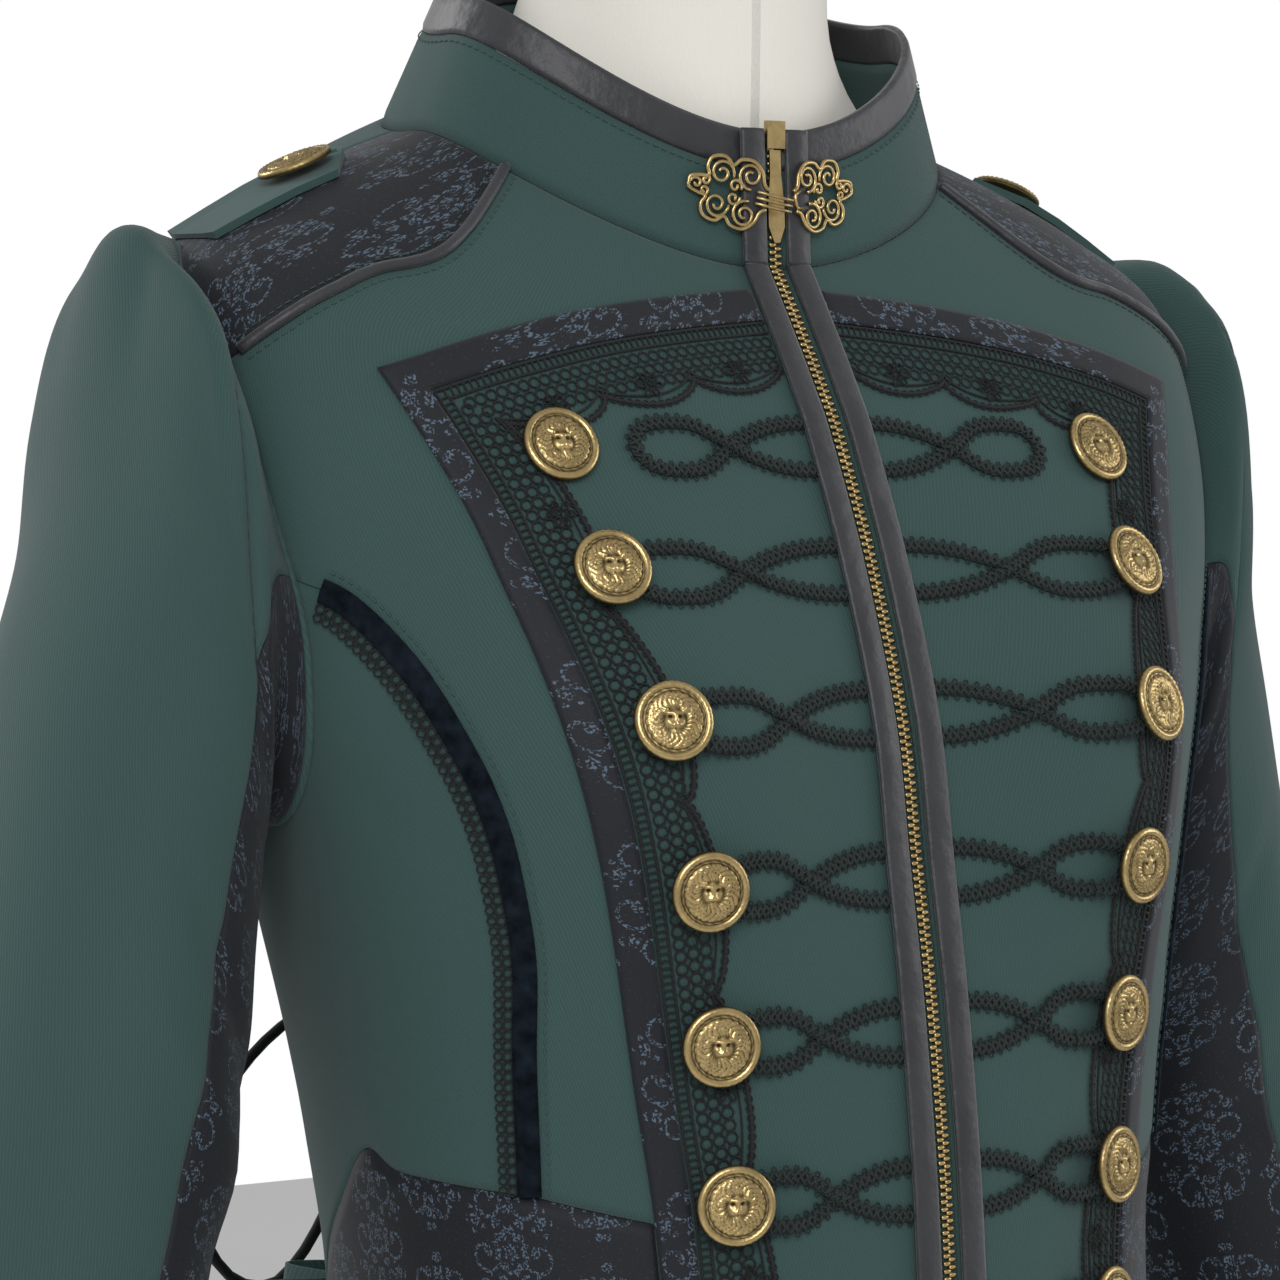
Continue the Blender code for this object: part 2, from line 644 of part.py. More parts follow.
def back_grids(seams):
    """Both halves of the back, joined at the centre."""
    side = np.concatenate([seams.shoulder, seams.armhole_back[1:], seams.side_back[1:]])
    below = at_height(math.radians(SIDE_BACK_PHI), BACK_END_Z)
    side = np.concatenate([side, [below]])
    centre_v = side[:, 1] * at_height(math.pi, BACK_END_Z)[1] / side[-1, 1]
    centre = np.stack([np.full(len(centre_v), math.pi), centre_v], -1)
    along = np.linspace(0, 1, len(seams.neck_back))[:, None]
    bottom = side[-1] * (1 - along) + centre[-1] * along
    half = patch_between(seams.neck_back, bottom, side, centre)
    other = half.copy()
    other[..., 0] = 2 * math.pi - other[..., 0]
    return [levels(half, 0, -CLOTH), levels(other, 0, -CLOTH)]


def hip_grids(seams):
    """The hip panel from the border round to the pleats."""
    top = np.concatenate([seams.hip_front, seams.hip_side[1:]])
    heights = np.linspace(top_z(top[-1]), HEM_Z + 1, len(seams.border_low))
    back = at_height(np.full(len(heights), math.radians(SIDE_BACK_PHI)), heights)
    back[0] = top[-1]
    along = np.linspace(0, 1, len(top))[:, None]
    hem = seams.border_low[-1] * (1 - along) + back[-1] * along
    grid = patch_between(top, hem, seams.border_low, back)
    return [levels(grid, 0, -CLOTH)]


def top_z(spot):
    """Height of the shell at a surface point."""
    return float(shell(spot[0], spot[1])[2])


def back_skirt():
    """Back skirt in organ pleats whose tubes are open at the waist."""
    first = math.radians(SIDE_BACK_PHI - PLEAT_LAP)
    span = 2 * (math.pi - first)
    angles = first + np.linspace(0, span, PLEATS * PLEAT_STEPS + 1)
    rows = [at_height(angles, np.full(len(angles), height)) for height in PLEAT_ROWS]

    def pleated(phi, v):
        wave = 0.5 - 0.5 * np.cos(2 * math.pi * PLEATS * (phi - first) / span)
        return shell(phi, v) + outward(shell, phi, v) * (PLEAT_BASE + PLEAT_DEPTH * wave)[..., None]

    wall("back_skirt", [levels(np.stack(rows), 0, -CLOTH)], "green_twill", pleated)


def collar_parts(seams):
    """Stand collar and the satin that binds its top edge."""
    start = -BINDING_HEIGHT / COLLAR_HEIGHT
    half = np.concatenate([seams.neck_front, seams.neck_yoke[1:], seams.neck_back[1:]])[:, 0]
    angles = np.concatenate([half, 2 * math.pi - half[-2::-1]])
    for name, rows, outer, inner, material in (
            ("collar", np.array([-1 - start, 0.0]), 0.0, -COLLAR_CLOTH, "green_twill"),
            ("collar_binding", np.array([-1.0, -1 - start]), 0.5, -COLLAR_CLOTH - 0.4, "satin")):
        grid = []
        for v in rows:
            edge = phi_across(FRONT_EDGE, v)
            around = angles.copy()
            around[0], around[-1] = edge, 2 * math.pi - edge
            grid.append(np.stack([around, np.full(len(around), v)], -1))
        wall(name, [levels(np.stack(grid), outer, inner)], material)


def zip_rows(last_z, steps):
    """v of the rows down the centre front from the collar's top."""
    last = on_front(0.0, last_z)[1]
    fine = on_front(0.0, BUTTON_ROWS[-1, 1] - 20)[1]
    return np.concatenate([[-1.0, -0.5], np.linspace(0, fine, steps), np.linspace(fine, last, 5)[1:]])


def zip_parts():
    """Zip and the satin strips beside it."""
    rows = zip_rows(ZIP_END_Z, 12)
    edges = np.array([-ZIP_HALF + HALF_GAP, ZIP_HALF - HALF_GAP])
    grid = np.stack([np.stack([phi_across(edges, v), np.full(2, v)], -1) for v in rows])
    wall("zip_chain", [levels(grid, ZIP_TOP, -CLOTH)], "antique_brass")
    rows = zip_rows(HEM_Z + 1, 18)
    edges = np.array([FRONT_EDGE - 0.1, STRIP_EDGE])
    grid = np.stack([np.stack([phi_across(edges, v), np.full(2, v)], -1) for v in rows])
    grids = [levels(grid, STRIP_TOP, STRIP_BASE)]
    wall("zip_strip_left", grids, "satin")
    wall("zip_strip_right", mirrored(grids), "satin")


def offset_line(points, width):
    """Line at a distance on the plastron's inner side, in the plane of x and z."""
    along = np.gradient(points, axis=0)
    along /= np.linalg.norm(along, axis=1, keepdims=True)
    side = np.stack([along[:, 1], -along[:, 0]], -1)
    return points + side * width


def plastron_lines(width):
    """Top and side lines at a distance inside the border's outer edge, meeting at the corner."""
    top = offset_line(BORDER_TOP, width)
    side = offset_line(BORDER_SIDE, width)
    along_top = BORDER_TOP[-1] - BORDER_TOP[-2]
    along_side = BORDER_SIDE[1] - BORDER_SIDE[0]
    turns = np.stack([along_top / np.linalg.norm(along_top), -along_side / np.linalg.norm(along_side)], -1)
    start_top = offset_line(BORDER_TOP[-2:], width)[0]
    start_side = offset_line(BORDER_SIDE[:2], width)[0]
    step = np.linalg.solve(turns, start_side - start_top)
    corner = start_top + turns[:, 0] * step[0]
    top = np.concatenate([top[top[:, 0] < corner[0] - 6], [corner]])
    top[0, 0] = BORDER_TOP[0, 0]
    side = np.concatenate([[corner], side[side[:, 1] < corner[1] - 6]])
    side[-1, 1] = BORDER_SIDE[-1, 1]
    return top, side


def resample_line(points, shares):
    """Smooth line at given shares of its length, in the plane of x and z."""
    dense = table_at(points, np.linspace(0, len(points) - 1, 30 * len(points)))
    dense[-1] = points[-1]
    length = np.concatenate([[0], np.cumsum(np.linalg.norm(np.diff(dense, axis=0), axis=1))])
    wanted = np.asarray(shares) * length[-1]
    return np.stack([np.interp(wanted, length, dense[:, k]) for k in range(2)], -1)


def border_grids():
    """Brocade border along the top and the side of the plastron."""
    outer = plastron_lines(0.0)
    inner = plastron_lines(BORDER_WIDTH)
    grids = []
    for arm, steps in ((0, 8), (1, 22)):
        shares = np.linspace(0, 1, steps + 1)
        edges = [resample_line(lines[arm], shares) for lines in (outer, inner)]
        flat = strip(edges[0], edges[1])
        grids.append(levels(on_front(flat[..., 0], flat[..., 1]), TRIM_TOP, TRIM_BASE))
    return grids


def lace_shares(scallops):
    """Places along a stretch of lace: two broad steps and the gap between them in each scallop."""
    steps = np.array([0.0, 0.42, 0.56])
    shares = np.concatenate([[k + steps] for k in range(scallops)]).ravel() / scallops
    return np.append(shares, 1.0)


def lace_grids():
    """Wide lace inside the border, its free edge in scallops with a gap cut in each."""
    grids, gaps = [], set()
    rows = np.array([0.06, 0.42, 0.64, 1.0])
    for arm, scallops in ((0, 3), (1, 12)):
        shares = lace_shares(scallops)
        edges = [resample_line(plastron_lines(BORDER_WIDTH + 0.3 + LACE_WIDTH * row)[arm], shares)
                 for row in rows]
        flat = np.stack(edges, 1)
        heel = flat[:, 2].copy()
        notch = np.isin(np.arange(len(shares)) % 3, [0])
        notch[0] = arm == 0
        notch[-1] = arm == 1
        if arm == 0:
            notch[-1] = False
        flat[notch, 3] = flat[notch, 3] * 0.6 + heel[notch] * 0.4
        grids.append(levels(on_front(flat[..., 0], flat[..., 1]), TRIM_TOP, TRIM_BASE))
        gaps |= {(arm, 3 * k + 1, 1) for k in range(scallops)}
    return grids, gaps


def lace_reach(z):
    """x of the lace's free edge at a height below the corner."""
    _, side = plastron_lines(BORDER_WIDTH + LACE_WIDTH)
    return float(np.interp(-z, -side[:, 1], side[:, 0]))


def frog_grids(row):
    """One frog: a loop, its crossing and two ends that reach the tape under the strip."""
    end_x, z = BUTTON_ROWS[row]
    end_x = FIRST_LOOP_END if row == 0 else end_x - 1.0
    cross_x = STRIP_EDGE + (end_x - STRIP_EDGE) * CROSSING_SHARE
    half = BRAID_WIDTH / 2
    corner_x, corner_z = half / math.sin(math.radians(36)), half / math.cos(math.radians(36))
    left, right = (cross_x - corner_x, z), (cross_x + corner_x, z)
    top, bottom = (cross_x, z + corner_z), (cross_x, z - corner_z)
    middle = np.array([[top, right], [left, bottom]], float)
    length = end_x - cross_x
    route = np.array([(0.0, 0.0), (0.3, 0.85), (0.58, 1.0), (0.84, 0.78), (0.955, 0.0),
                      (0.84, -0.78), (0.58, -1.0), (0.3, -0.85), (0.0, 0.0)])
    spots = table_at(route, np.linspace(0, 8, 9)) * np.array([length, FROG_HALF_HEIGHT])
    along = np.gradient(spots, axis=0)
    along /= np.linalg.norm(along, axis=1, keepdims=True)
    side = np.stack([-along[:, 1], along[:, 0]], -1) * half
    centre = np.array([cross_x, z])
    outer, inner = centre + spots + side, centre + spots - side
    outer[0], outer[-1], inner[0], inner[-1] = top, bottom, right, right
    grids = [middle, strip(outer, inner)]
    tape_x = TAPE_EDGES[1]
    for sign, tip in ((1, top), (-1, bottom)):
        reach_x = np.array([1.0, 0.0, 0.0])
        far_out, far_in = z + sign * (FROG_HALF_HEIGHT + half), z + sign * (FROG_HALF_HEIGHT - half)
        upper = np.stack([STRIP_EDGE + 2.2 + (tip[0] - STRIP_EDGE - 2.2) * reach_x,
                          far_out + (tip[1] - far_out) * reach_x**1.6], -1)
        lower = np.stack([STRIP_EDGE + 2.2 + (left[0] - STRIP_EDGE - 2.2) * reach_x,
                          far_in + (left[1] - far_in) * reach_x**1.2], -1)
        upper[2, 0] = lower[2, 0] = STRIP_EDGE + 0.2
        upper = np.concatenate([upper, [(tape_x, far_out)]])
        lower = np.concatenate([lower, [(tape_x, far_in)]])
        grids.append(strip(upper, lower))
    return grids


def frog_levels(flat):
    """Levels of the braid: thin under the strip, raised over the lace."""
    x, z = flat[..., 0], flat[..., 1]
    reach = np.vectorize(lace_reach)(np.minimum(z, 1296.0))
    over = np.clip((x - (reach - 14)) / 5, 0, 1) * (z < 1290)
    base = TRIM_BASE + over * (TRIM_TOP + OVER_LACE - TRIM_BASE)
    top = base + BRAID_THICK
    thin = x < STRIP_EDGE + 0.5
    return np.where(thin, TAPE_TOP, top), np.where(thin, TRIM_BASE, base)


def frogs_grids():
    """Seven frogs on the tape that joins them under the strip."""
    grids, ends = [], []
    for row in range(len(BUTTON_ROWS)):
        for flat in frog_grids(row):
            top, base = frog_levels(flat)
            grids.append(levels(on_front(flat[..., 0], flat[..., 1]), top, base))
        half = BRAID_WIDTH / 2
        for offset in (FROG_HALF_HEIGHT + half, FROG_HALF_HEIGHT - half,
                       half - FROG_HALF_HEIGHT, -FROG_HALF_HEIGHT - half):
            ends.append(BUTTON_ROWS[row, 1] + offset)
    ends = np.array(ends)
    edges = [np.stack([np.full(len(ends), x), ends], -1) for x in TAPE_EDGES]
    tape = strip(edges[0], edges[1])
    grids.append(levels(on_front(tape[..., 0], tape[..., 1]), TAPE_TOP, TRIM_BASE))
    return grids


def seam_trims(seams):
    """Velvet ribbon with its narrow lace on the princess seam, and the yoke's piping."""
    line = resample(seams.princess, 14)
    line = line[1:]
    half = VELVET_WIDTH / 2
    edges = [beside(line, distance) for distance in (-half, half, half + EDGING_WIDTH)]
    velvet = levels(strip(edges[0], edges[1]), TRIM_TOP + 0.3, TRIM_BASE)
    edging = levels(strip(edges[1], edges[2]), TRIM_TOP, TRIM_BASE)
    trim = [velvet, edging]
    wall("princess_trim_left", trim, "velvet")
    wall("princess_trim_right", mirrored(trim), "velvet")
    line = resample(seams.piping, 8)
    line = line[:-1]
    edges = [beside(line, distance) for distance in (-PIPING_WIDTH / 2, PIPING_WIDTH / 2)]
    edges[0][0, 1] = max(edges[0][0, 1], 0.03)
    edges[1][0, 1] = max(edges[1][0, 1], 0.03)
    piping = [levels(strip(edges[0], edges[1]), PIPING_TOP, PIPING_BASE)]
    wall("piping_left", piping, "satin")
    wall("piping_right", mirrored(piping), "satin")


def epaulette_phi(v):
    """Angle of the shoulder strap's middle."""
    return math.radians(90 + 3.0 * (v - 1))


def epaulettes():
    """Shoulder straps with their raised edge of braid."""
    grid = []
    for v, share in EPAULETTE_ROWS:
        middle = np.array([epaulette_phi(v)])
        slope = np.linalg.norm(slopes(shell, middle, np.array([v]))[0])
        across = np.array([-1, -0.62, 0.62, 1]) * EPAULETTE_HALF * share / slope
        grid.append(np.stack([middle + across, np.full(4, v)], -1))
    top = np.array([TRIM_TOP + 1.5, TRIM_TOP + 0.5, TRIM_TOP + 0.5, TRIM_TOP + 1.5])
    grids = [levels(np.stack(grid), top, TRIM_BASE)]
    wall("epaulette_left", grids, "green_twill")
    wall("epaulette_right", mirrored(grids), "green_twill")


def button(name, phi, v, base):
    """Domed button on its shank."""
    origin, out, up = seat_frame(phi, v, base)
    rings = turned_rings(BUTTON_PROFILE, BUTTON_SIDES, origin, out, up)
    lofted(name, rings, "antique_brass")


def buttons():
    """Seven pairs on the plastron and one on each shoulder strap."""
    for row, (x, z) in enumerate(BUTTON_ROWS):
        phi, v = on_front(x, z)
        base = FIRST_BUTTON_BASE if row == 0 else BUTTON_BASE
        for side, sign in (("left", 1), ("right", -1)):
            button(f"button_{side}_{row + 1}", sign * phi, v, base)
    phi = epaulette_phi(EPAULETTE_BUTTON_V)
    for side, sign in (("left", 1), ("right", -1)):
        button(f"strap_button_{side}", sign * phi, EPAULETTE_BUTTON_V, TRIM_TOP + 1.0)


def clasp_half(name, sign, outline):
    """Flat metal plate from its seat on the strip to its seat on the collar."""
    near = seat_frame(float(phi_across(12.0 * sign, CLASP_PLACE_V)), CLASP_PLACE_V, STRIP_TOP + 0.45)
    far = seat_frame(float(phi_across(33.0 * sign, CLASP_PLACE_V)), CLASP_PLACE_V, 0.75)
    along = far[0] - near[0]
    along /= np.linalg.norm(along)
    up = near[2]
    out = np.cross(along, up) * sign
    loop = np.concatenate([outline, outline[::-1] * np.array([1, -1])])
    flat = near[0] + (loop[:, :1] - 12.0) * along + loop[:, 1:] * up
    lofted(name, [flat, flat + out * CLASP_THICK], "antique_brass")


def clasp():
    """Hook half on the wearer's right and eye half on the left."""
    clasp_half("clasp_left", 1, CLASP_OUTLINE)
    clasp_half("clasp_right", -1, np.concatenate([HOOK_OUTLINE[::-1], CLASP_OUTLINE[1:]]))


def box_points(low, high):
    """Rings of a plain block's lower and upper faces."""
    (x0, y0, z0), (x1, y1, z1) = low, high
    corners = [(x0, y0), (x1, y0), (x1, y1), (x0, y1)]
    return [np.array([(x, y, z) for x, y in corners], float) for z in (z0, z1)]


def zip_pull_axis():
    """Point of the pull's hinge on the slider."""
    spot = shell(0.0, PULL_AXIS_V)
    return np.array([0.0, spot[1] - ZIP_TOP - 1.1, spot[2]])


def zip_head():
    """Slider at the collar's top and its hanging pull."""
    axis = zip_pull_axis()
    width, depth, height = SLIDER_SIZE
    back = axis[1] + 0.75
    low = axis[2] + 0.5
    slider = box_points((-width / 2, back - depth, low), (width / 2, back, low + height))
    lofted("zip_slider", slider, "antique_brass")
    lean = (shell(0.0, -0.1)[1] - shell(0.0, -0.8)[1]) / (0.7 * COLLAR_HEIGHT)
    broad = PULL_WIDTH / 2
    rows = np.array([(0.0, 2.2), (8.0, 2.2), (18.0, broad), (25.0, broad), (PULL_LENGTH, 1.2)])
    rings = []
    for down, half in rows:
        middle = axis + np.array([0, lean * down, -down])
        rings.append(np.array([middle + (-half, 0.5, 0), middle + (half, 0.5, 0),
                               middle + (half, -0.5, 0), middle + (-half, -0.5, 0)]))
    lofted("zip_pull", rings, "antique_brass")


def cord(name, route):
    """Round cord along smooth points."""
    curve = bpy.data.curves.new(name, "CURVE")
    curve.dimensions = "3D"
    curve.bevel_depth = CORD_RADIUS * MM
    curve.bevel_resolution = 2
    curve.use_fill_caps = True
    spline = curve.splines.new("POLY")
    spline.points.add(len(route) - 1)
    for point, spot in zip(spline.points, route):
        point.co = (*(float(c) * MM for c in spot), 1.0)
    curve.materials.append(finish("black_lace"))
    item = bpy.data.objects.new(name, curve)
    bpy.context.scene.collection.objects.link(item)


def even_route(points, spacing):
    """Points at an even spacing on the smooth curve through a route."""
    dense = table_at(points, np.linspace(0, len(points) - 1, 40 * len(points)))
    dense[-1] = points[-1]
    length = np.concatenate([[0], np.cumsum(np.linalg.norm(np.diff(dense, axis=0), axis=1))])
    wanted = np.linspace(0, length[-1], int(length[-1] / spacing) + 1)
    return np.stack([np.interp(wanted, length, dense[:, k]) for k in range(3)], -1)


def lacing():
    """Two strands that cross down the centre back, the knot and the bow's cords."""
    turns = np.linspace(0, LACING_RUNS, LACING_RUNS * 4 + 1)
    sway = np.tanh(1.5 * np.cos(math.pi * turns)) / math.tanh(1.5)
    heights = LACING_TOP_Z - LACING_PITCH * turns
    for name, sign, hump in (("lacing_under", 1, 0.0), ("lacing_over", -1, 2 * CORD_RADIUS + CORD_GAP)):
        x = sign * sway * LACING_HALF
        phi = math.pi - phi_back(x, heights)
        spots = at_height(phi, heights)
        rise = CORD_RADIUS + 0.8 + hump * (0.35 + 0.65 * np.sin(math.pi * turns)**2)
        out = outward(shell, spots[:, 0], spots[:, 1])
        cord(name, shell(spots[:, 0], spots[:, 1]) + out * rise[:, None])
    route = even_route(BOW_ROUTE, CORD_SPACING)
    cord("bow_cord_right", route)
    cord("bow_cord_left", route * np.array([-1.0, 1, 1]))
    angles = np.linspace(0, 2 * math.pi, 10, endpoint=False)
    rings = []
    for height, share in ((-1, 0.4), (-0.55, 0.9), (0.55, 0.9), (1, 0.4)):
        rings.append(np.stack([KNOT_PLACE[0] + KNOT_SIZE[0] * share * np.cos(angles),
                               KNOT_PLACE[1] + KNOT_SIZE[1] * share * np.sin(angles),
                               np.full(10, KNOT_PLACE[2] + KNOT_SIZE[2] * height)], -1))
    lofted("lacing_knot", rings, "black_lace")


def phi_back(x, z):
    """Angle from the centre back at which the back reaches x."""
    v = at_height(np.full(len(z), math.pi), z)[:, 1]
    ring = ring_at(v)
    share = np.clip(np.abs(x) / ring[:, 3], 0, 0.99)
    return np.sign(x) * np.arctan(share / (1 - share**ring[:, 7])**(1 / ring[:, 7]))


def dress_form():
    """Limbless form under the cloth, from its neck to the hips, and its stand."""
    angles = np.linspace(0, 2 * math.pi, FORM_SIDES, endpoint=False)
    rings = []
    for ring in FORM_NECK:
        rings.append(np.stack(ring_point(np.broadcast_to(ring, (FORM_SIDES, 8)), angles), -1))
    centre = np.array([0, FORM_CENTRE_Y, 0])
    cap = centre + (rings[0] - centre) * np.array([FORM_CAP_SHARE, FORM_CAP_SHARE, 1])
    rings.insert(0, cap + np.array([0, 0, FORM_CAP_RISE]))
    for v, depth in FORM_BODY:
        around = np.full(FORM_SIDES, v)
        rings.append(shell(angles, around) - outward(shell, angles, around) * depth)
    base = rings[-1] * FORM_BASE_SHARE
    base[:, 2] = FORM_BASE_Z
    rings.append(base)
    lofted("dress_form", rings, "linen")
    origin = np.zeros(3)
    turned = turned_rings(STAND_PROFILE, STAND_SIDES, origin, np.array([0, 0, 1.0]), np.array([0, 1.0, 0]))
    lofted("form_stand", turned, "stand_metal")


def sleeves():
    """Both sleeves, each an upper and an under panel."""
    rows = np.array([0, 0.5, 1, 1.8, 2.8, 4, 5.4, 7.1, 9.0])
    upper = np.radians(np.concatenate([
        np.linspace(BACK_SEAM_TURN - 360, YOKE_BACK_TURN, 6),
        np.linspace(YOKE_BACK_TURN, YOKE_FRONT_TURN, 6)[1:],
        np.linspace(YOKE_FRONT_TURN, FRONT_SEAM_TURN, 4)[1:]]))
    under = np.radians(np.linspace(FRONT_SEAM_TURN, BACK_SEAM_TURN, 9))
    for side, place in (("left", sleeve), ("right", sleeve_right)):
        panels = (("upper_sleeve", upper, "green_twill"), ("under_sleeve", under, "brocade"))
        for name, turns, material in panels:
            grid = np.stack(np.broadcast_arrays(turns[None, :], rows[:, None]), -1).astype(float)
            inner = CLOTH if side == "right" else -CLOTH
            wall(f"{name}_{side}", [levels(grid, 0, inner)], material, place)


def both_sides(name, grids, material, skip=()):
    """The same panel for the wearer's left and right."""
    wall(f"{name}_left", grids, material, skip=skip)
    wall(f"{name}_right", mirrored(grids), material, skip=skip)


def main():
    clear_scene()
    seams = Seams()
    both_sides("front", front_grids(seams), "green_twill")
    both_sides("side", side_grids(seams), "green_twill")
    both_sides("yoke", yoke_grids(seams), "brocade")
    wall("back", back_grids(seams), "green_twill")
    both_sides("hip", hip_grids(seams), "brocade")
    back_skirt()
    sleeves()
    collar_parts(seams)
    zip_parts()
    zip_head()
    clasp()
    both_sides("border", border_grids(), "brocade")
    grids, gaps = lace_grids()
    both_sides("lace", grids, "black_lace", gaps)
    both_sides("frogs", frogs_grids(), "braid")
    seam_trims(seams)
    epaulettes()
    buttons()
    lacing()
    dress_form()


main()
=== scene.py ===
"""Looks of the long jacket on its dress form.

The file is laid out as a Blender add-on and run as a script. Each operator makes one
piece or a group of like pieces round the packed frame. Cloth follows the same shell
as the solids, shell(phi, v): phi is the angle round the body, 0 at the centre front,
and v runs down the rings, -1 at the collar's top edge, 0 at its seam and 13 at the
hem. Tables are in millimetres and meshes in metres. Front faces -Y, +Z is up.
"""
import math

import bmesh
import bpy
import numpy as np
from bpy.props import FloatProperty, FloatVectorProperty, PointerProperty
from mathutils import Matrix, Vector


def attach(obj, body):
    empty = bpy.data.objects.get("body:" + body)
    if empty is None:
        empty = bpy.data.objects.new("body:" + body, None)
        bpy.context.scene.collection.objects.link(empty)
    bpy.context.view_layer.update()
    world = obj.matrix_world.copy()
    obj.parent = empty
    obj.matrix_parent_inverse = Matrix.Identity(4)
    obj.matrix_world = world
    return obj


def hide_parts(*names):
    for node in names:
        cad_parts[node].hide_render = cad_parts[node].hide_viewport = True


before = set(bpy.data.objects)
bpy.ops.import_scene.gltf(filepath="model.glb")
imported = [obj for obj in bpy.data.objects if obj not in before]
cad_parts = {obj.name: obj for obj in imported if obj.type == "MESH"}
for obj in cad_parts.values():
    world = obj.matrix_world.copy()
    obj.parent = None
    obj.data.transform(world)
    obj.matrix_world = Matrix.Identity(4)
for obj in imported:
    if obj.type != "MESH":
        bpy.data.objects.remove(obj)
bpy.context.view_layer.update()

bl_info = {
    "name": "Long jacket on a dress form",
    "version": (1, 0, 0),
    "blender": (4, 5, 0),
    "location": "3D View > Sidebar > Jacket",
    "description": "Cloth, trims, buttons and stage of a long military-style jacket",
    "category": "Object",
}

MM = 0.001
ROOT = "jacket_and_form"
SIDES = (("left", 1), ("right", -1))

# Surface of the jacket, as in the solids
COLLAR_CLOTH = 1.9
HALF_GAP = 0.15
ZIP_HALF = 3.8
FRONT_EDGE = 4.2
STRIP_EDGE = 13.2
STRIP_TOP = 2.8
BORDER_WIDTH = 10.5
LACE_WIDTH = 21.0
VELVET_WIDTH = 7.6
EDGING_WIDTH = 7.4
BINDING_HEIGHT = 12.8
COLLAR_HEIGHT = 45.0
HEM_Z = 600.0
FRONT_HIP_Z = 1060.0
ZIP_END_Z = 930.0
# Side z, front z, back z, half width, front y, side y, back y, power
COLLAR_TOP = np.array([1446, 1402, 1467, 86, -15, 39, 93, 2.2], float)
BODY_RINGS = np.array([
    (1402, 1357, 1423, 101, -17, 45, 112, 2.40),
    (1392, 1336, 1413, 127, -31, 43, 121, 2.30),
    (1376, 1317, 1395, 160, -43, 40, 128, 2.30),
    (1352, 1301, 1366, 192, -52, 38, 132, 2.40),
    (1300, 1262, 1300, 197, -69, 34, 134, 2.60),
    (1235, 1213, 1235, 184, -85, 26, 132, 2.60),
    (1180, 1168, 1180, 168, -93, 18, 126, 2.50),
    (1130, 1125, 1130, 156, -101, 12, 118, 2.40),
    (1075, 1073, 1075, 147, -108, 8, 110, 2.30),
    (1017, 1017, 1017, 143, -113, 5, 104, 2.20),
    (960, 960, 960, 155, -121, 5, 116, 2.20),
    (880, 880, 880, 180, -136, 5, 140, 2.20),
    (760, 760, 760, 213, -160, 5, 172, 2.20),
    (600, 600, 600, 250, -190, 5, 208, 2.20),
], float)
# Bust: centre x, centre z, width, height, rise
BUST = (86.0, 1200.0, 48.0, 66.0, 17.0)
# Armhole: turn from the shoulder tip and phi, both in degrees, and v
ARMHOLE = np.array([
    (0, 97.0, 2.72), (22, 84.5, 3.10), (45, 74.0, 3.45), (68, 68.0, 3.80),
    (90, 65.6, 4.30), (112, 66.0, 4.85), (135, 72.0, 5.45), (158, 81.0, 5.85),
    (180, 91.0, 5.98), (202, 101.0, 5.85), (225, 110.0, 5.45), (248, 115.5, 4.85),
    (270, 117.0, 4.25), (292, 114.5, 3.65), (315, 109.0, 3.15), (338, 103.0, 2.82),
], float)
# Sleeve: outer x, outer z, inner x, inner z, middle y, half depth
SLEEVE_RINGS = np.array([
    (209, 1362, 179, 1186, 40, 63),
    (217, 1326, 180, 1171, 45, 67),
    (223, 1278, 178, 1152, 48, 66),
    (239, 1225, 176, 1129, 50, 64),
    (253, 1165, 177, 1098, 49, 62),
    (271, 1090, 186, 1050, 46, 59),
    (294, 1010, 208, 977, 42, 56),
    (319, 925, 236, 894, 37, 52),
    (345, 832, 268, 804, 32, 46),
], float)
SLEEVE_LIFT = 2.0
CAP_GATHERS = 7
CAP_GATHER_RISE = 2.4
YOKE_BACK_TURN = -22.0
YOKE_FRONT_TURN = 50.0
FRONT_SEAM_TURN = 101.0
BACK_SEAM_TURN = 248.0
# Seams and trims on the front: x and z
PIPING_LINE = np.array([(90, 1370), (120, 1361), (146, 1353), (163, 1346), (177, 1338), (188, 1329)], float)
PRINCESS_LINE = np.array([
    (171, 1250), (157, 1230), (145, 1205), (137, 1183), (132, 1161), (128.5, 1139),
    (126.5, 1106), (124, 1069),
], float)
BORDER_TOP = np.array([(STRIP_EDGE + 0.4, 1349.5), (50, 1346), (84, 1341), (120, 1333), (157, 1322)], float)
BORDER_SIDE = np.array([
    (157, 1322), (147, 1298), (139, 1277), (133.5, 1257), (128, 1237), (120, 1203), (113.5, 1174),
    (107, 1140), (101, 1103), (95, 1061), (92, 1017), (96, 960), (107, 880), (124, 760), (140, 601),
], float)
# Hip panel's top edge: phi in degrees and z
HIP_TOP = np.array([
    (61, 1070), (70, 1071.5), (78, 1073), (85, 1078), (95.5, 1060), (107, 1041), (118, 1020),
], float)
SIDE_BACK_PHI = 118.0
SIDE_BACK_BENDS = ((119.0, 6.5), (119.0, 8.0))
SHOULDER_PHI = 100.0
SHOULDER_BEND = (101.0, 1.4)
BACK_END_Z = 997.0
BUTTON_ROWS = np.array([
    (106.5, 1298), (102, 1259), (94, 1214), (84, 1164), (78, 1116), (73.5, 1067), (69, 1022),
], float)
BUTTON_BASE = 3.9
FIRST_BUTTON_BASE = 0.4
FIRST_LOOP_END = 82.0
CROSSING_SHARE = 0.45
FROG_HALF_HEIGHT = 7.6
PLEATS = 8
PLEAT_DEPTH = 32.0
PLEAT_BASE = 2.7
PLEAT_LAP = 0.7
PLEAT_TOP_Z = 1023.0
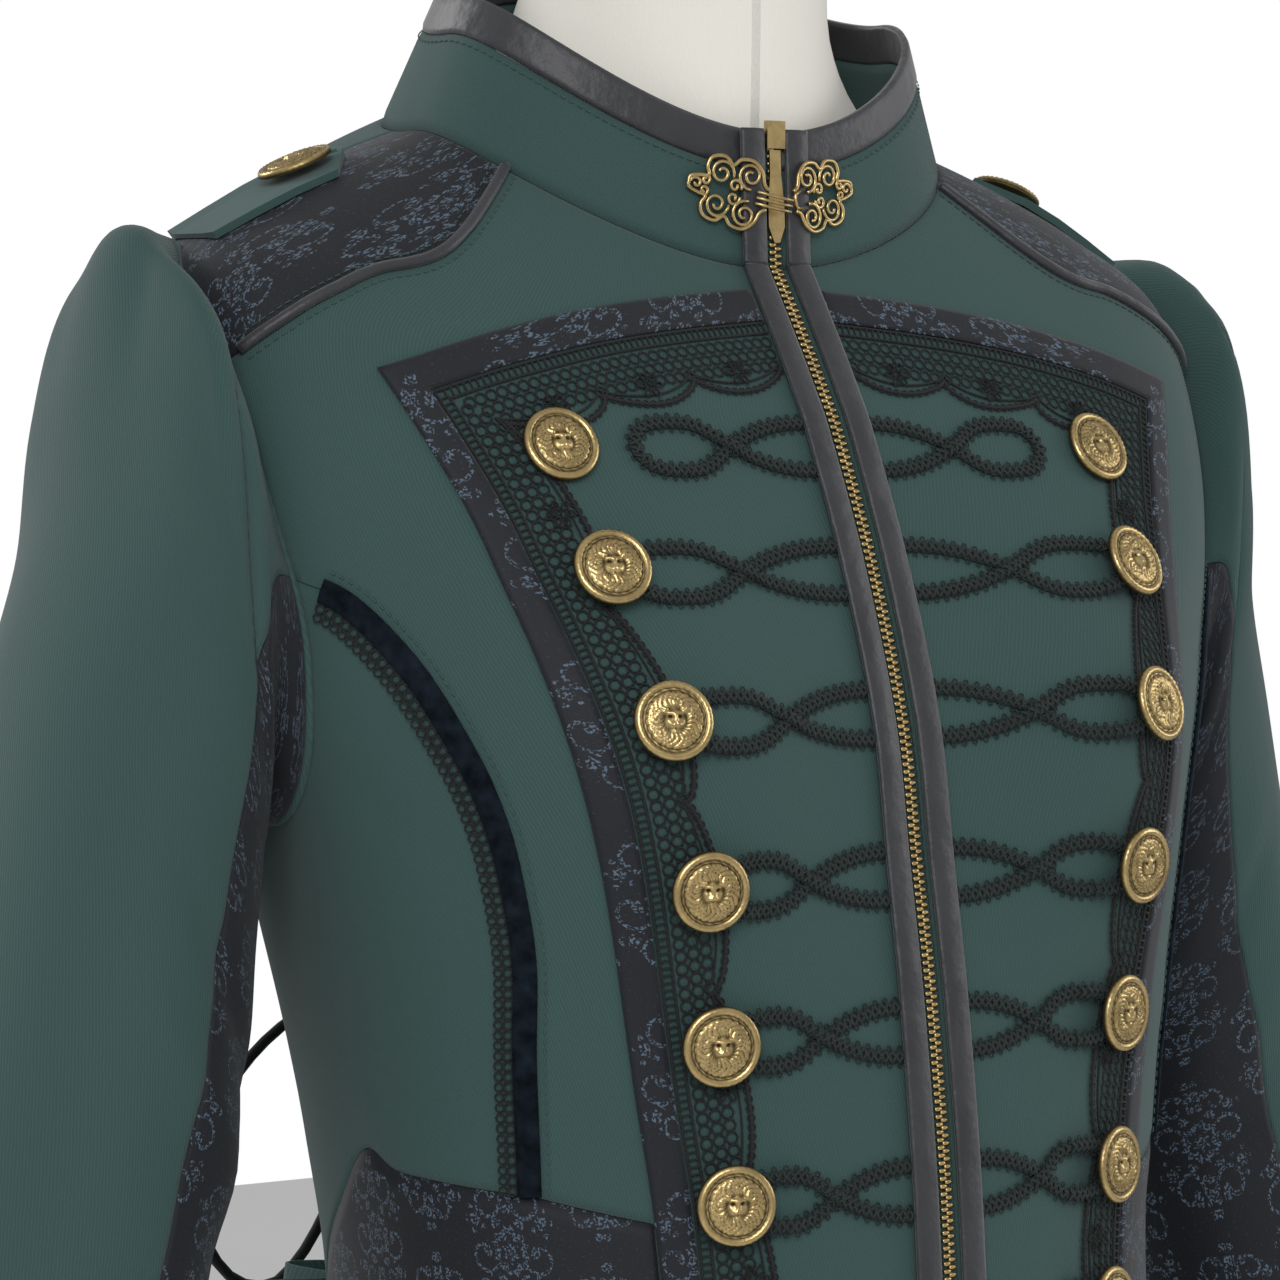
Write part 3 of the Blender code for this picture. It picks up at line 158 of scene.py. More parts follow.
LACING_HALF = 31.0
LACING_TOP_Z = 1208.0
LACING_PITCH = 27.0
LACING_RUNS = 5
CORD_RADIUS = 1.9
CORD_GAP = 0.35
CORD_SPACING = 11.4
BOW_ROUTE = np.array([
    (-28, 166, 925), (-27, 159, 952), (-25, 153, 985), (-22, 148, 1018), (-17, 138, 1046),
    (-12, 126, 1070), (-16, 124, 1086), (-34, 130, 1102), (-62, 135, 1110), (-92, 134, 1104),
    (-118, 130, 1087), (-137, 123, 1063), (-140, 120, 1038), (-127, 123, 1018), (-108, 128, 1012),
    (-92, 132, 1022), (-78, 133, 1042), (-62, 132, 1058), (-40, 128, 1072), (-10.1, 124, 1077),
], float)
KNOT_PLACE = (0.0, 123.6, 1077.4)
EPAULETTE_HALF = 18.5
EPAULETTE_BUTTON_V = 1.5
CLASP_PLACE_V = -0.5
PULL_AXIS_V = -0.86
FORM_NECK = np.array([
    (1522, 1522, 1522, 50, -8, 40, 88, 2.0),
    (1480, 1474, 1484, 52, -10, 40, 90, 2.0),
    (1444, 1410, 1460, 54, -9, 40, 91, 2.0),
    (1414, 1374, 1434, 72, -9, 41, 97, 2.2),
], float)
FORM_BODY = np.array([
    (0.5, 6.0), (1.0, 3.4), (1.7, 3.2), (2.4, 4.0), (3.1, 5.2), (4.0, 5.0), (5.0, 4.4), (6.0, 4.8),
    (7.5, 6.0), (9.0, 7.0), (10.0, 8.0), (11.0, 14.0),
], float)
FORM_BASE_Z = 860.0
FORM_BASE_SHARE = 0.86
FORM_CENTRE_Y = 40.0
FORM_CAP_RISE = 6.0
STAND_PROFILE = [(170, 0), (170, 8), (150, 17), (30, 25), (12.5, 40), (12.5, 859.7)]

# Soft folds of the body: start x, y, z, end x, y, z, width and rise, on each side
BODY_FOLDS = {
    1: np.array([
        (190, -30, 1248, 128, -92, 1200, 9, 0.8), (186, -10, 1222, 138, -80, 1165, 8, -0.8),
        (60, -60, 1345, 130, -50, 1345, 10, 0.6), (150, -60, 1120, 60, -112, 1100, 10, 0.5),
        (150, 20, 1090, 110, -80, 1040, 9, -0.7), (30, -110, 1010, 70, -120, 960, 14, 0.8),
        (165, 60, 1180, 120, 112, 1120, 10, 0.9), (150, 60, 1110, 60, 112, 1060, 10, -0.8),
        (120, 100, 1330, 170, 70, 1290, 12, 0.8), (60, 118, 1120, 20, 115, 1040, 9, 0.6),
    ], float),
    -1: np.array([
        (188, -25, 1240, 120, -96, 1188, 10, 0.8), (184, -5, 1210, 134, -84, 1150, 8, -0.7),
        (70, -58, 1350, 140, -45, 1340, 10, -0.5), (148, -64, 1128, 70, -108, 1085, 9, 0.6),
        (152, 10, 1100, 118, -70, 1052, 9, 0.7), (28, -112, 1000, 80, -124, 940, 15, 0.8),
        (168, 50, 1170, 124, 110, 1105, 10, -0.8), (148, 66, 1100, 70, 112, 1075, 9, 0.8),
        (110, 104, 1340, 168, 74, 1300, 12, 0.7), (50, 118, 1140, 15, 114, 1060, 9, -0.6),
    ], float),
}
# Flutes of the skirt: phi in degrees, width in degrees and depth at the hem
SKIRT_FLUTES = {
    1: np.array([(16, 7, 3.0), (36, 8, -3.5), (55, 7, 3.5), (72, 8, -4.5), (90, 8, 4.5), (106, 7, -3.5)]),
    -1: np.array([(20, 7, -3.0), (40, 8, 3.5), (60, 8, -4.0), (78, 7, 4.0), (95, 8, -4.5), (109, 6, 3.0)]),
}
# Folds of the sleeve: turn at the start, place along, turn at the end, place along, width and rise
SLEEVE_FOLDS = {
    1: np.array([
        (70, 1.1, 110, 2.2, 0.16, 2.2), (95, 1.5, 135, 2.9, 0.14, -2.0), (40, 0.6, 60, 1.9, 0.13, 1.6),
        (20, 0.5, 25, 1.7, 0.12, -1.5), (75, 4.6, 150, 5.4, 0.16, 2.4), (60, 5.3, 150, 5.9, 0.16, -2.4),
        (85, 6.0, 165, 6.3, 0.16, 2.0), (200, 2.4, 250, 3.6, 0.18, 1.8), (280, 1.2, 255, 2.8, 0.18, 2.0),
        (-60, 1.0, -95, 2.4, 0.15, -1.6), (40, 7.6, 110, 8.0, 0.2, 1.2), (190, 5.6, 260, 6.4, 0.2, 1.8),
    ], float),
    -1: np.array([
        (60, 0.9, 100, 2.1, 0.16, 2.4), (88, 1.3, 128, 2.7, 0.14, -2.2), (44, 0.5, 70, 1.8, 0.12, -1.6),
        (12, 0.4, 20, 1.9, 0.12, 1.6), (80, 4.4, 155, 5.3, 0.17, 2.4), (66, 5.1, 150, 5.8, 0.15, -2.2),
        (90, 5.8, 160, 6.2, 0.16, 1.8), (205, 2.6, 255, 3.8, 0.18, 1.6), (275, 1.0, 250, 2.6, 0.18, 2.0),
        (-50, 0.9, -90, 2.2, 0.15, 1.6), (35, 7.4, 120, 7.9, 0.2, -1.2), (195, 5.4, 265, 6.2, 0.2, -1.8),
    ], float),
}


# Surface functions


def table_at(table, place):
    """Smooth value of a table at fractional row numbers."""
    last = len(table) - 1
    place = np.clip(np.asarray(place, float), 0.0, last - 1e-9)
    low = place.astype(int)
    t = (place - low)[..., None]
    before = table[np.maximum(low - 1, 0)]
    start = table[low]
    end = table[low + 1]
    after = table[np.minimum(low + 2, last)]
    leave = (end - before) / 2
    arrive = (after - start) / 2
    return ((2 * t**3 - 3 * t**2 + 1) * start + (t**3 - 2 * t**2 + t) * leave
            + (3 * t**2 - 2 * t**3) * end + (t**3 - t**2) * arrive)


def ring_at(v):
    """Ring values at v; the collar's stretch is straight."""
    v = np.asarray(v, float)
    body = table_at(BODY_RINGS, np.maximum(v, 0.0))
    share = np.clip(-v, 0.0, 1.0)[..., None]
    return body * (1 - share) + COLLAR_TOP * share


def ring_point(ring, phi):
    """Point at the angle phi on an egg-shaped ring."""
    sine, cosine = np.sin(phi), np.cos(phi)
    power = ring[..., 7]
    reach = (np.abs(sine)**power + np.abs(cosine)**power)**(1 / power)
    depth = np.where(cosine > 0, ring[..., 5] - ring[..., 4], ring[..., 6] - ring[..., 5])
    front = np.maximum(cosine, 0)**2
    back = np.maximum(-cosine, 0)**2
    height = (ring[..., 0] + (ring[..., 1] - ring[..., 0]) * front
              + (ring[..., 2] - ring[..., 0]) * back)
    return ring[..., 3] * sine / reach, ring[..., 5] - depth * cosine / reach, height


def shell(phi, v):
    """Point of the jacket's outer shell, without its folds."""
    phi, v = np.broadcast_arrays(np.asarray(phi, float), np.asarray(v, float))
    x, y, z = ring_point(ring_at(v), phi)
    centre_x, centre_z, width, height, rise = BUST
    bump = rise * np.exp(-((np.abs(x) - centre_x) / width)**2 - ((z - centre_z) / height)**2)
    y = y - bump * np.clip(3 * np.cos(phi), 0, 1)
    return np.stack([x, y, z], -1)


def slopes(place, u, w):
    """Central differences of a surface along its two coordinates."""
    step_u, step_w = 0.004, 0.02
    along_u = (place(u + step_u, w) - place(u - step_u, w)) / (2 * step_u)
    along_w = (place(u, w + step_w) - place(u, w - step_w)) / (2 * step_w)
    return along_u, along_w


def outward(place, u, w):
    """Unit normal of a surface, on the outer side."""
    along_u, along_w = slopes(place, u, w)
    normal = np.cross(along_w, along_u)
    return normal / np.linalg.norm(normal, axis=-1, keepdims=True)


def fold_rise(spots, folds):
    """Rise of the soft folds at points of a surface."""
    rise = np.zeros(spots.shape[:-1])
    for row in folds:
        start, end, width, height = row[:3], row[3:6], row[6], row[7]
        along = end - start
        share = np.clip((spots - start) @ along / (along @ along), 0, 1)
        gap = np.linalg.norm(spots - start - share[..., None] * along, axis=-1)
        taper = 0.35 + 0.65 * np.sin(math.pi * np.clip(share, 0.02, 0.98))
        rise = rise + height * np.exp(-(gap / width)**2) * taper
    return rise


def skirt_rise(phi, v, side):
    """Rise of the skirt's flutes, growing from the hip to the hem."""
    grow = np.clip((v - 9.5) / 3.5, 0, 1)**1.5
    rise = np.zeros(np.shape(phi))
    for middle, width, depth in SKIRT_FLUTES[side]:
        rise = rise + depth * np.exp(-((np.degrees(phi) - middle) / width)**2)
    return rise * grow


def dressed(side):
    """Surface of the jacket with the folds of one side, in the left side's coordinates."""
    def place(phi, v):
        spots = shell(phi, v)
        normal = outward(shell, phi, v)
        rise = fold_rise(spots, BODY_FOLDS[side]) + skirt_rise(phi, v, side)
        rise = rise * np.clip(np.abs(spots[..., 0]) / 30, 0.15, 1)
        return spots + normal * rise[..., None]
    return place


def phi_across(x, v):
    """Angle at which the ring v of the front reaches x."""
    ring = ring_at(v)
    share = np.clip(np.abs(x) / ring[..., 3], 0, 0.9999)
    power = ring[..., 7]
    return np.sign(x) * np.arctan(share / (1 - share**power)**(1 / power))


def on_front(x, z):
    """Surface coordinates of the front's point at x and z."""
    x, z = np.broadcast_arrays(np.asarray(x, float), np.asarray(z, float))
    low, high = np.zeros(x.shape), np.full(x.shape, len(BODY_RINGS) - 1.0)
    for _ in range(30):
        middle = (low + high) / 2
        above = shell(phi_across(x, middle), middle)[..., 2] > z
        low = np.where(above, middle, low)
        high = np.where(above, high, middle)
    return np.stack([phi_across(x, low), low], -1)


def at_height(phi, z):
    """Surface coordinates at the angle phi and the height z."""
    phi, z = np.broadcast_arrays(np.asarray(phi, float), np.asarray(z, float))
    low, high = np.zeros(phi.shape), np.full(phi.shape, len(BODY_RINGS) - 1.0)
    for _ in range(30):
        middle = (low + high) / 2
        above = shell(phi, middle)[..., 2] > z
        low = np.where(above, middle, low)
        high = np.where(above, high, middle)
    return np.stack([phi, low], -1)


def phi_back(x, z):
    """Angle from the centre back at which the back reaches x."""
    v = at_height(np.full(np.shape(z), math.pi), z)[..., 1]
    ring = ring_at(v)
    share = np.clip(np.abs(x) / ring[..., 3], 0, 0.99)
    power = ring[..., 7]
    return np.sign(x) * np.arctan(share / (1 - share**power)**(1 / power))


def resample(points, steps):
    """Smooth curve through surface coordinates at steps + 1 even places along it."""
    points = np.asarray(points, float)
    dense = table_at(points, np.linspace(0, len(points) - 1, 60 * len(points)))
    dense[-1] = points[-1]
    scale = np.array([120.0, 40.0])
    length = np.concatenate([[0], np.cumsum(np.linalg.norm(np.diff(dense * scale, axis=0), axis=1))])
    wanted = np.linspace(0, length[-1], steps + 1)
    return np.stack([np.interp(wanted, length, dense[:, k]) for k in range(2)], -1)


def even_line(points, spacing=None, shares=None):
    """Smooth line through points, at an even spacing or at given shares of its length."""
    points = np.asarray(points, float)
    dense = table_at(points, np.linspace(0, len(points) - 1, 60 * len(points)))
    dense[-1] = points[-1]
    length = np.concatenate([[0], np.cumsum(np.linalg.norm(np.diff(dense, axis=0), axis=1))])
    if shares is None:
        shares = np.linspace(0, 1, max(int(round(length[-1] / spacing)), 1) + 1)
    wanted = np.asarray(shares) * length[-1]
    return np.stack([np.interp(wanted, length, dense[:, k]) for k in range(points.shape[1])], -1)


def patch_between(top, bottom, left, right):
    """Grid of coordinates filled between four seams."""
    s = np.linspace(0, 1, len(top))[None, :, None]
    t = np.linspace(0, 1, len(left))[:, None, None]
    across = (1 - t) * top[None] + t * bottom[None]
    down = (1 - s) * left[:, None] + s * right[:, None]
    corners = ((1 - s) * (1 - t) * top[0] + s * (1 - t) * top[-1]
               + (1 - s) * t * bottom[0] + s * t * bottom[-1])
    return across + down - corners


def armhole_at(turn):
    """Shell coordinates of the armhole at a turn in degrees."""
    looped = np.concatenate([ARMHOLE[-2:], ARMHOLE, ARMHOLE[:3]])
    turns = looped[:, 0].copy()
    turns[:2] -= 360
    turns[-3:] += 360
    turn = np.mod(np.asarray(turn, float), 360)
    rows = np.interp(turn, turns, np.arange(len(turns)))
    values = table_at(looped[:, 1:], rows)
    return np.stack([np.radians(values[..., 0]), values[..., 1]], -1)


def armhole_stretch(start, end, steps):
    """Armhole's points between two turns."""
    return armhole_at(np.linspace(start, end, steps + 1))


def smooth_sleeve(turn, along):
    """Point of the left sleeve without its folds."""
    turn, along = np.broadcast_arrays(np.asarray(turn, float), np.asarray(along, float))
    seam = armhole_at(np.degrees(turn))
    first = shell(seam[..., 0], seam[..., 1])
    first = first + outward(shell, seam[..., 0], seam[..., 1]) * SLEEVE_LIFT
    sine, cosine = np.sin(turn), np.cos(turn)
    reach = (np.abs(sine)**2.2 + np.abs(cosine)**2.2)**(1 / 2.2)
    stack = [first]
    for k, (out_x, out_z, in_x, in_z, mid_y, depth) in enumerate(SLEEVE_RINGS):
        gather = max(0.0, 1 - k / 2.5) * CAP_GATHER_RISE
        swell = gather * np.cos(CAP_GATHERS * turn) * np.clip(np.cos(turn), 0, 1)
        share = cosine / reach
        x = (out_x + in_x) / 2 + (out_x - in_x) / 2 * share + swell * 0.4
        z = (out_z + in_z) / 2 + (out_z - in_z) / 2 * share + swell
        stack.append(np.stack([x, mid_y - depth * sine / reach, z], -1))
    stack = np.stack(stack)
    last = len(stack) - 1
    place = np.clip(along, 0, last - 1e-9)
    low = place.astype(int)
    t = (place - low)[..., None]
    picked = [np.take_along_axis(stack, np.clip(low + shift, 0, last)[None, ..., None], 0)[0]
              for shift in (-1, 0, 1, 2)]
    leave = (picked[2] - picked[0]) / 2
    arrive = (picked[3] - picked[1]) / 2
    smooth = ((2 * t**3 - 3 * t**2 + 1) * picked[1] + (t**3 - 2 * t**2 + t) * leave
              + (3 * t**2 - 2 * t**3) * picked[2] + (t**3 - t**2) * arrive)
    before = np.minimum(along, 0)[..., None] * (stack[1] - stack[0])
    beyond = np.maximum(along - last, 0)[..., None] * (stack[-1] - stack[-2])
    return smooth + before + beyond


def dressed_sleeve(side):
    """Sleeve surface with the folds of one side, in the left side's coordinates."""
    def place(turn, along):
        turn, along = np.broadcast_arrays(np.asarray(turn, float), np.asarray(along, float))
        rise = np.zeros(turn.shape)
        for turn_a, along_a, turn_b, along_b, width, height in SLEEVE_FOLDS[side]:
            start = np.array([math.radians(turn_a), along_a * 0.9])
            end = np.array([math.radians(turn_b), along_b * 0.9])
            step = end - start
            wrapped = (turn - start[0] + math.pi) % (2 * math.pi) - math.pi
            here = np.stack([wrapped, along * 0.9 - start[1]], -1)
            share = np.clip(here @ step / (step @ step), 0, 1)
            gap = np.linalg.norm(here - share[..., None] * step, axis=-1)
            taper = 0.3 + 0.7 * np.sin(math.pi * np.clip(share, 0.02, 0.98))
            rise = rise + height * np.exp(-(gap / width)**2) * taper
        rise = rise * np.clip(along * 2.2, 0, 1) * np.clip((9.05 - along) * 2, 0.2, 1)
        gathers = np.cos(13 * turn + 0.8 * np.sin(3 * turn)) * np.clip(np.cos(turn) * 1.3, 0, 1)
        rise = rise + 0.9 * gathers * np.exp(-((along - 0.35) / 0.45)**2)
        return smooth_sleeve(turn, along) + outward(smooth_sleeve, turn, along) * rise[..., None]
    return place


def pleated(phi, v):
    """Point of the back skirt's organ pleats."""
    first = math.radians(SIDE_BACK_PHI - PLEAT_LAP)
    span = 2 * (math.pi - first)
    wave = 0.5 - 0.5 * np.cos(2 * math.pi * PLEATS * (phi - first) / span)
    return shell(phi, v) + outward(shell, phi, v) * (PLEAT_BASE + PLEAT_DEPTH * wave)[..., None]


class Seams:
    """Curves that neighbouring panels share, on the wearer's left, each drawn finely."""

    def __init__(self, fine):
        piping = on_front(PIPING_LINE[:, 0], PIPING_LINE[:, 1])
        piping_top = np.array([phi_across(88.0, 0.0), 0.0])
        self.piping = resample(
            np.concatenate([[piping_top], piping[1:], [armhole_at(YOKE_FRONT_TURN)]]), 5 * fine)
        princess = on_front(PRINCESS_LINE[:, 0], PRINCESS_LINE[:, 1])
        self.princess = resample(np.concatenate([[armhole_at(FRONT_SEAM_TURN)], princess]), 9 * fine)
        shoulder_start = np.array([math.radians(SHOULDER_PHI), 0.0])
        self.neck_front = self.neck(phi_across(FRONT_EDGE, 0.0), piping_top[0], 8 * fine)
        self.neck_yoke = self.neck(piping_top[0], shoulder_start[0], 5 * fine)
        self.neck_back = self.neck(shoulder_start[0], math.pi, 5 * fine)
        self.armhole_front = armhole_stretch(YOKE_FRONT_TURN, FRONT_SEAM_TURN, 3 * fine)
        self.armhole_yoke = armhole_stretch(YOKE_FRONT_TURN, YOKE_BACK_TURN, 5 * fine)
        self.armhole_back = armhole_stretch(YOKE_BACK_TURN, BACK_SEAM_TURN - 360, 5 * fine)
        self.armhole_side = armhole_stretch(FRONT_SEAM_TURN, BACK_SEAM_TURN, 8 * fine)
        bend = (math.radians(SHOULDER_BEND[0]), SHOULDER_BEND[1])
        self.shoulder = resample(np.stack([shoulder_start, bend, self.armhole_yoke[-1]]), 5 * fine)
        hip = at_height(np.radians(HIP_TOP[:, 0]), HIP_TOP[:, 1])
        self.hip_side = resample(np.concatenate([self.princess[-1:], hip[1:]]), 8 * fine)
        bends = [(math.radians(phi), v) for phi, v in SIDE_BACK_BENDS]
        side_back = np.stack([self.armhole_back[-1], *bends, self.hip_side[-1]])
        self.side_back = resample(side_back, 9 * fine)
        border = on_front(BORDER_SIDE[9:, 0], BORDER_SIDE[9:, 1])
        self.border_low = resample(border, 8 * fine)
        self.hip_front = resample(np.stack([self.border_low[0], self.princess[-1]]), 3 * fine)

    @staticmethod
    def neck(start, end, steps):
        """Stretch of the collar seam between two angles."""
        angles = np.linspace(start, end, steps + 1)
        return np.stack([angles, np.zeros(steps + 1)], -1)


def front_grids(seams, fine):
    """The front: chest and plastron over the hip, then its skirt to the hem."""
    right = np.concatenate([seams.piping, seams.armhole_front[1:], seams.princess[1:]])
    bottom_v = on_front(FRONT_EDGE, FRONT_HIP_Z)[1]
    left_v = right[:, 1] * bottom_v / right[-1, 1]
    left = np.stack([phi_across(np.full(len(left_v), FRONT_EDGE), left_v), left_v], -1)
    along = np.linspace(0, 1, 5 * fine + 1)[:, None]
    to_border = left[-1] * (1 - along) + seams.border_low[0] * along
    bottom = np.concatenate([to_border, seams.hip_front[1:]])
    chest = patch_between(seams.neck_front, bottom, left, right)
    heights = np.linspace(FRONT_HIP_Z, HEM_Z + 1, len(seams.border_low))
    edge = on_front(np.full(len(heights), FRONT_EDGE), heights)
    edge[0] = left[-1]
    hem = edge[-1] * (1 - along) + seams.border_low[-1] * along
    return [chest, patch_between(to_border, hem, edge, seams.border_low)]


def back_grids(seams):
    """Both halves of the back, joined at the centre."""
    below = at_height(math.radians(SIDE_BACK_PHI), BACK_END_Z)
    side = np.concatenate([seams.shoulder, seams.armhole_back[1:], seams.side_back[1:], [below]])
    centre_v = side[:, 1] * at_height(math.pi, BACK_END_Z)[1] / side[-1, 1]
    centre = np.stack([np.full(len(centre_v), math.pi), centre_v], -1)
    along = np.linspace(0, 1, len(seams.neck_back))[:, None]
    bottom = side[-1] * (1 - along) + centre[-1] * along
    half = patch_between(seams.neck_back, bottom, side, centre)
    other = half.copy()
    other[..., 0] = 2 * math.pi - other[..., 0]
    return [half, other]


def hip_grids(seams):
    """The hip panel from the border round to the pleats."""
    top = np.concatenate([seams.hip_front, seams.hip_side[1:]])
    start_z = float(shell(top[-1][0], top[-1][1])[2])
    heights = np.linspace(start_z, HEM_Z + 1, len(seams.border_low))
    back = at_height(np.full(len(heights), math.radians(SIDE_BACK_PHI)), heights)
    back[0] = top[-1]
    along = np.linspace(0, 1, len(top))[:, None]
    hem = seams.border_low[-1] * (1 - along) + back[-1] * along
    return [patch_between(top, hem, seams.border_low, back)]


def offset_line(points, width):
    """Line at a distance on the plastron's inner side, in the plane of x and z."""
    along = np.gradient(points, axis=0)
    along /= np.linalg.norm(along, axis=1, keepdims=True)
    return points + np.stack([along[:, 1], -along[:, 0]], -1) * width


def plastron_lines(width):
    """Top and side lines at a distance inside the border's outer edge, meeting at the corner."""
    top = offset_line(BORDER_TOP, width)
    side = offset_line(BORDER_SIDE, width)
    along_top = BORDER_TOP[-1] - BORDER_TOP[-2]
    along_side = BORDER_SIDE[1] - BORDER_SIDE[0]
    turns = np.stack([along_top / np.linalg.norm(along_top), -along_side / np.linalg.norm(along_side)], -1)
    start_top = offset_line(BORDER_TOP[-2:], width)[0]
    start_side = offset_line(BORDER_SIDE[:2], width)[0]
    step = np.linalg.solve(turns, start_side - start_top)
    corner = start_top + turns[:, 0] * step[0]
    top = np.concatenate([top[top[:, 0] < corner[0] - 6], [corner]])
    top[0, 0] = BORDER_TOP[0, 0]
    side = np.concatenate([[corner], side[side[:, 1] < corner[1] - 6]])
    side[-1, 1] = BORDER_SIDE[-1, 1]
    return top, side


def lace_reach(z):
    """x of the lace's free edge at a height below the corner."""
    _, side = plastron_lines(BORDER_WIDTH + LACE_WIDTH)
    return np.interp(-np.asarray(z), -side[:, 1], side[:, 0])


# Meshes


def mesh_piece(name, points, faces, materials, uv=None, relief=None, smooth=True):
    """Object from points in millimetres, with a UV map in metres and a relief attribute."""
    mesh = bpy.data.meshes.new(name)
    mesh.from_pydata((np.asarray(points, float) * MM).tolist(), [], faces)
    mesh.validate()
    for material in materials if isinstance(materials, (list, tuple)) else [materials]:
        mesh.materials.append(material)
    if uv is not None:
        corners = np.empty(len(mesh.loops), int)
        mesh.loops.foreach_get("vertex_index", corners)
        layer = mesh.uv_layers.new(name="UVMap")
        layer.data.foreach_set("uv", (np.asarray(uv, float) * MM)[corners].ravel())
    if relief is not None:
        mesh.attributes.new("relief", "FLOAT", "POINT").data.foreach_set("value", np.asarray(relief, float))
    if smooth:
        mesh.shade_smooth()
    piece = bpy.data.objects.new(name, mesh)
    bpy.context.scene.collection.objects.link(piece)
    return piece


def grid_faces(rows, columns, start=0, wrap=False):
    """Quads of a grid of points, row by row; wrap joins the last column to the first."""
    index = start + np.arange(rows * columns).reshape(rows, columns)
    after = np.roll(index, -1, axis=1) if wrap else index[:, 1:]
    before = index if wrap else index[:, :-1]
    quads = np.stack([before[:-1], after[:-1], after[1:], before[1:]], -1)
    return quads.reshape(-1, 4).tolist()


def joined(parts):
    """Points, faces, UVs and relief of several parts as one mesh."""
    points, faces, uvs, reliefs = [], [], [], []
    count = 0
    for part_points, part_faces, part_uv, part_relief in parts:
        points.append(part_points)
        faces += [[k + count for k in face] for face in part_faces]
        uvs.append(part_uv if part_uv is not None else np.zeros((len(part_points), 2)))
        reliefs.append(part_relief if part_relief is not None else np.ones(len(part_points)))
        count += len(part_points)
    return np.concatenate(points), faces, np.concatenate(uvs), np.concatenate(reliefs)


def settle(piece, nodes=(), body=ROOT):
    """Place a finished piece on its body, in its finish, for the solids it stands for."""
    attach(piece, body)
    if nodes:
        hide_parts(*nodes)
    return piece


def cloth_piece(name, grids, place, material, side=1, thick=1.6, top=0.0, roll=0.45, grain=None):
    """Cloth wall on fine grids of surface coordinates, its edges turned in; returns the piece and its cut."""
    keys = np.concatenate([grid.reshape(-1, 2) for grid in grids])
    _, first, welded = np.unique(np.round(keys, 6), axis=0, return_index=True, return_inverse=True)
    welded = welded.ravel()
    coords = keys[first]
    spots = place(coords[:, 0], coords[:, 1])
    normals = outward(place, coords[:, 0], coords[:, 1])
    quads, start, area, width, length = [], 0, 0.0, 0.0, 0.0
    for grid in grids:
        rows, columns = grid.shape[:2]
        index = welded[start:start + rows * columns].reshape(rows, columns)
        start += rows * columns
        sheet = np.stack([index[:-1, :-1], index[:-1, 1:], index[1:, 1:], index[1:, :-1]], -1).reshape(-1, 4)
        cross = np.cross(spots[sheet[:, 2]] - spots[sheet[:, 0]], spots[sheet[:, 3]] - spots[sheet[:, 1]])
        area += float(np.linalg.norm(cross, axis=1).sum()) / 2
        if np.einsum("ij,ij->", cross, normals[sheet[:, 0]]) < 0:
            sheet = sheet[:, ::-1]
        quads.append(sheet)
        laid = spots[index]
        width = max(width, float(np.linalg.norm(np.diff(laid, axis=1), axis=2).sum(1).max()))
        length += float(np.linalg.norm(np.diff(laid, axis=0), axis=2).sum(0).max())
    quads = np.concatenate(quads)
    edges = np.stack([quads, np.roll(quads, -1, axis=1)], -1).reshape(-1, 2)
    known = {(a, b) for a, b in edges.tolist() if a != b}
    rim = {a: b for a, b in known if (b, a) not in known}
    moves = np.zeros_like(spots)
    drop = np.zeros(len(spots))
    leading = {b: a for a, b in rim.items()}
    for spot, after in rim.items():
        before = leading.get(spot, spot)
        along = spots[after] - spots[before]
        inward = np.cross(normals[spot], along)
        size = np.linalg.norm(inward)
        if size > 0:
            moves[spot] = inward / size * HALF_GAP
        drop[spot] = roll
    outer = spots + moves + normals * (top - drop)[:, None]
    inner = spots + moves + normals * (top - thick + drop * 0.3)[:, None]
    count = len(spots)
    faces = [[k for j, k in enumerate(face) if k != face[j - 1]] for face in quads.tolist()]
    faces = [face for face in faces if len(face) > 2]
    faces += [[k + count for k in face[::-1]] for face in faces]
    faces += [[b, a, a + count, b + count] for a, b in rim.items()]
    points = np.concatenate([outer, inner])
    if grain is None:
        flat = np.stack([coords[:, 0] * 150, -spots[:, 2]], -1)
    else:
        flat = grain(coords, spots)
    uv = np.concatenate([flat, flat])
    if side < 0:
        points = points * np.array([-1.0, 1, 1])
        faces = [face[::-1] for face in faces]
    piece = mesh_piece(name, points, faces, material, uv)
    return piece, (width * MM, length * MM, area * MM * MM)


def surface_lines(place, coords):
    """Points, normals and directions along a line of surface coordinates."""
    spots = place(coords[:, 0], coords[:, 1])
    normals = outward(place, coords[:, 0], coords[:, 1])
    along = np.gradient(spots, axis=0)
    along /= np.linalg.norm(along, axis=1, keepdims=True)
    return spots, normals, along


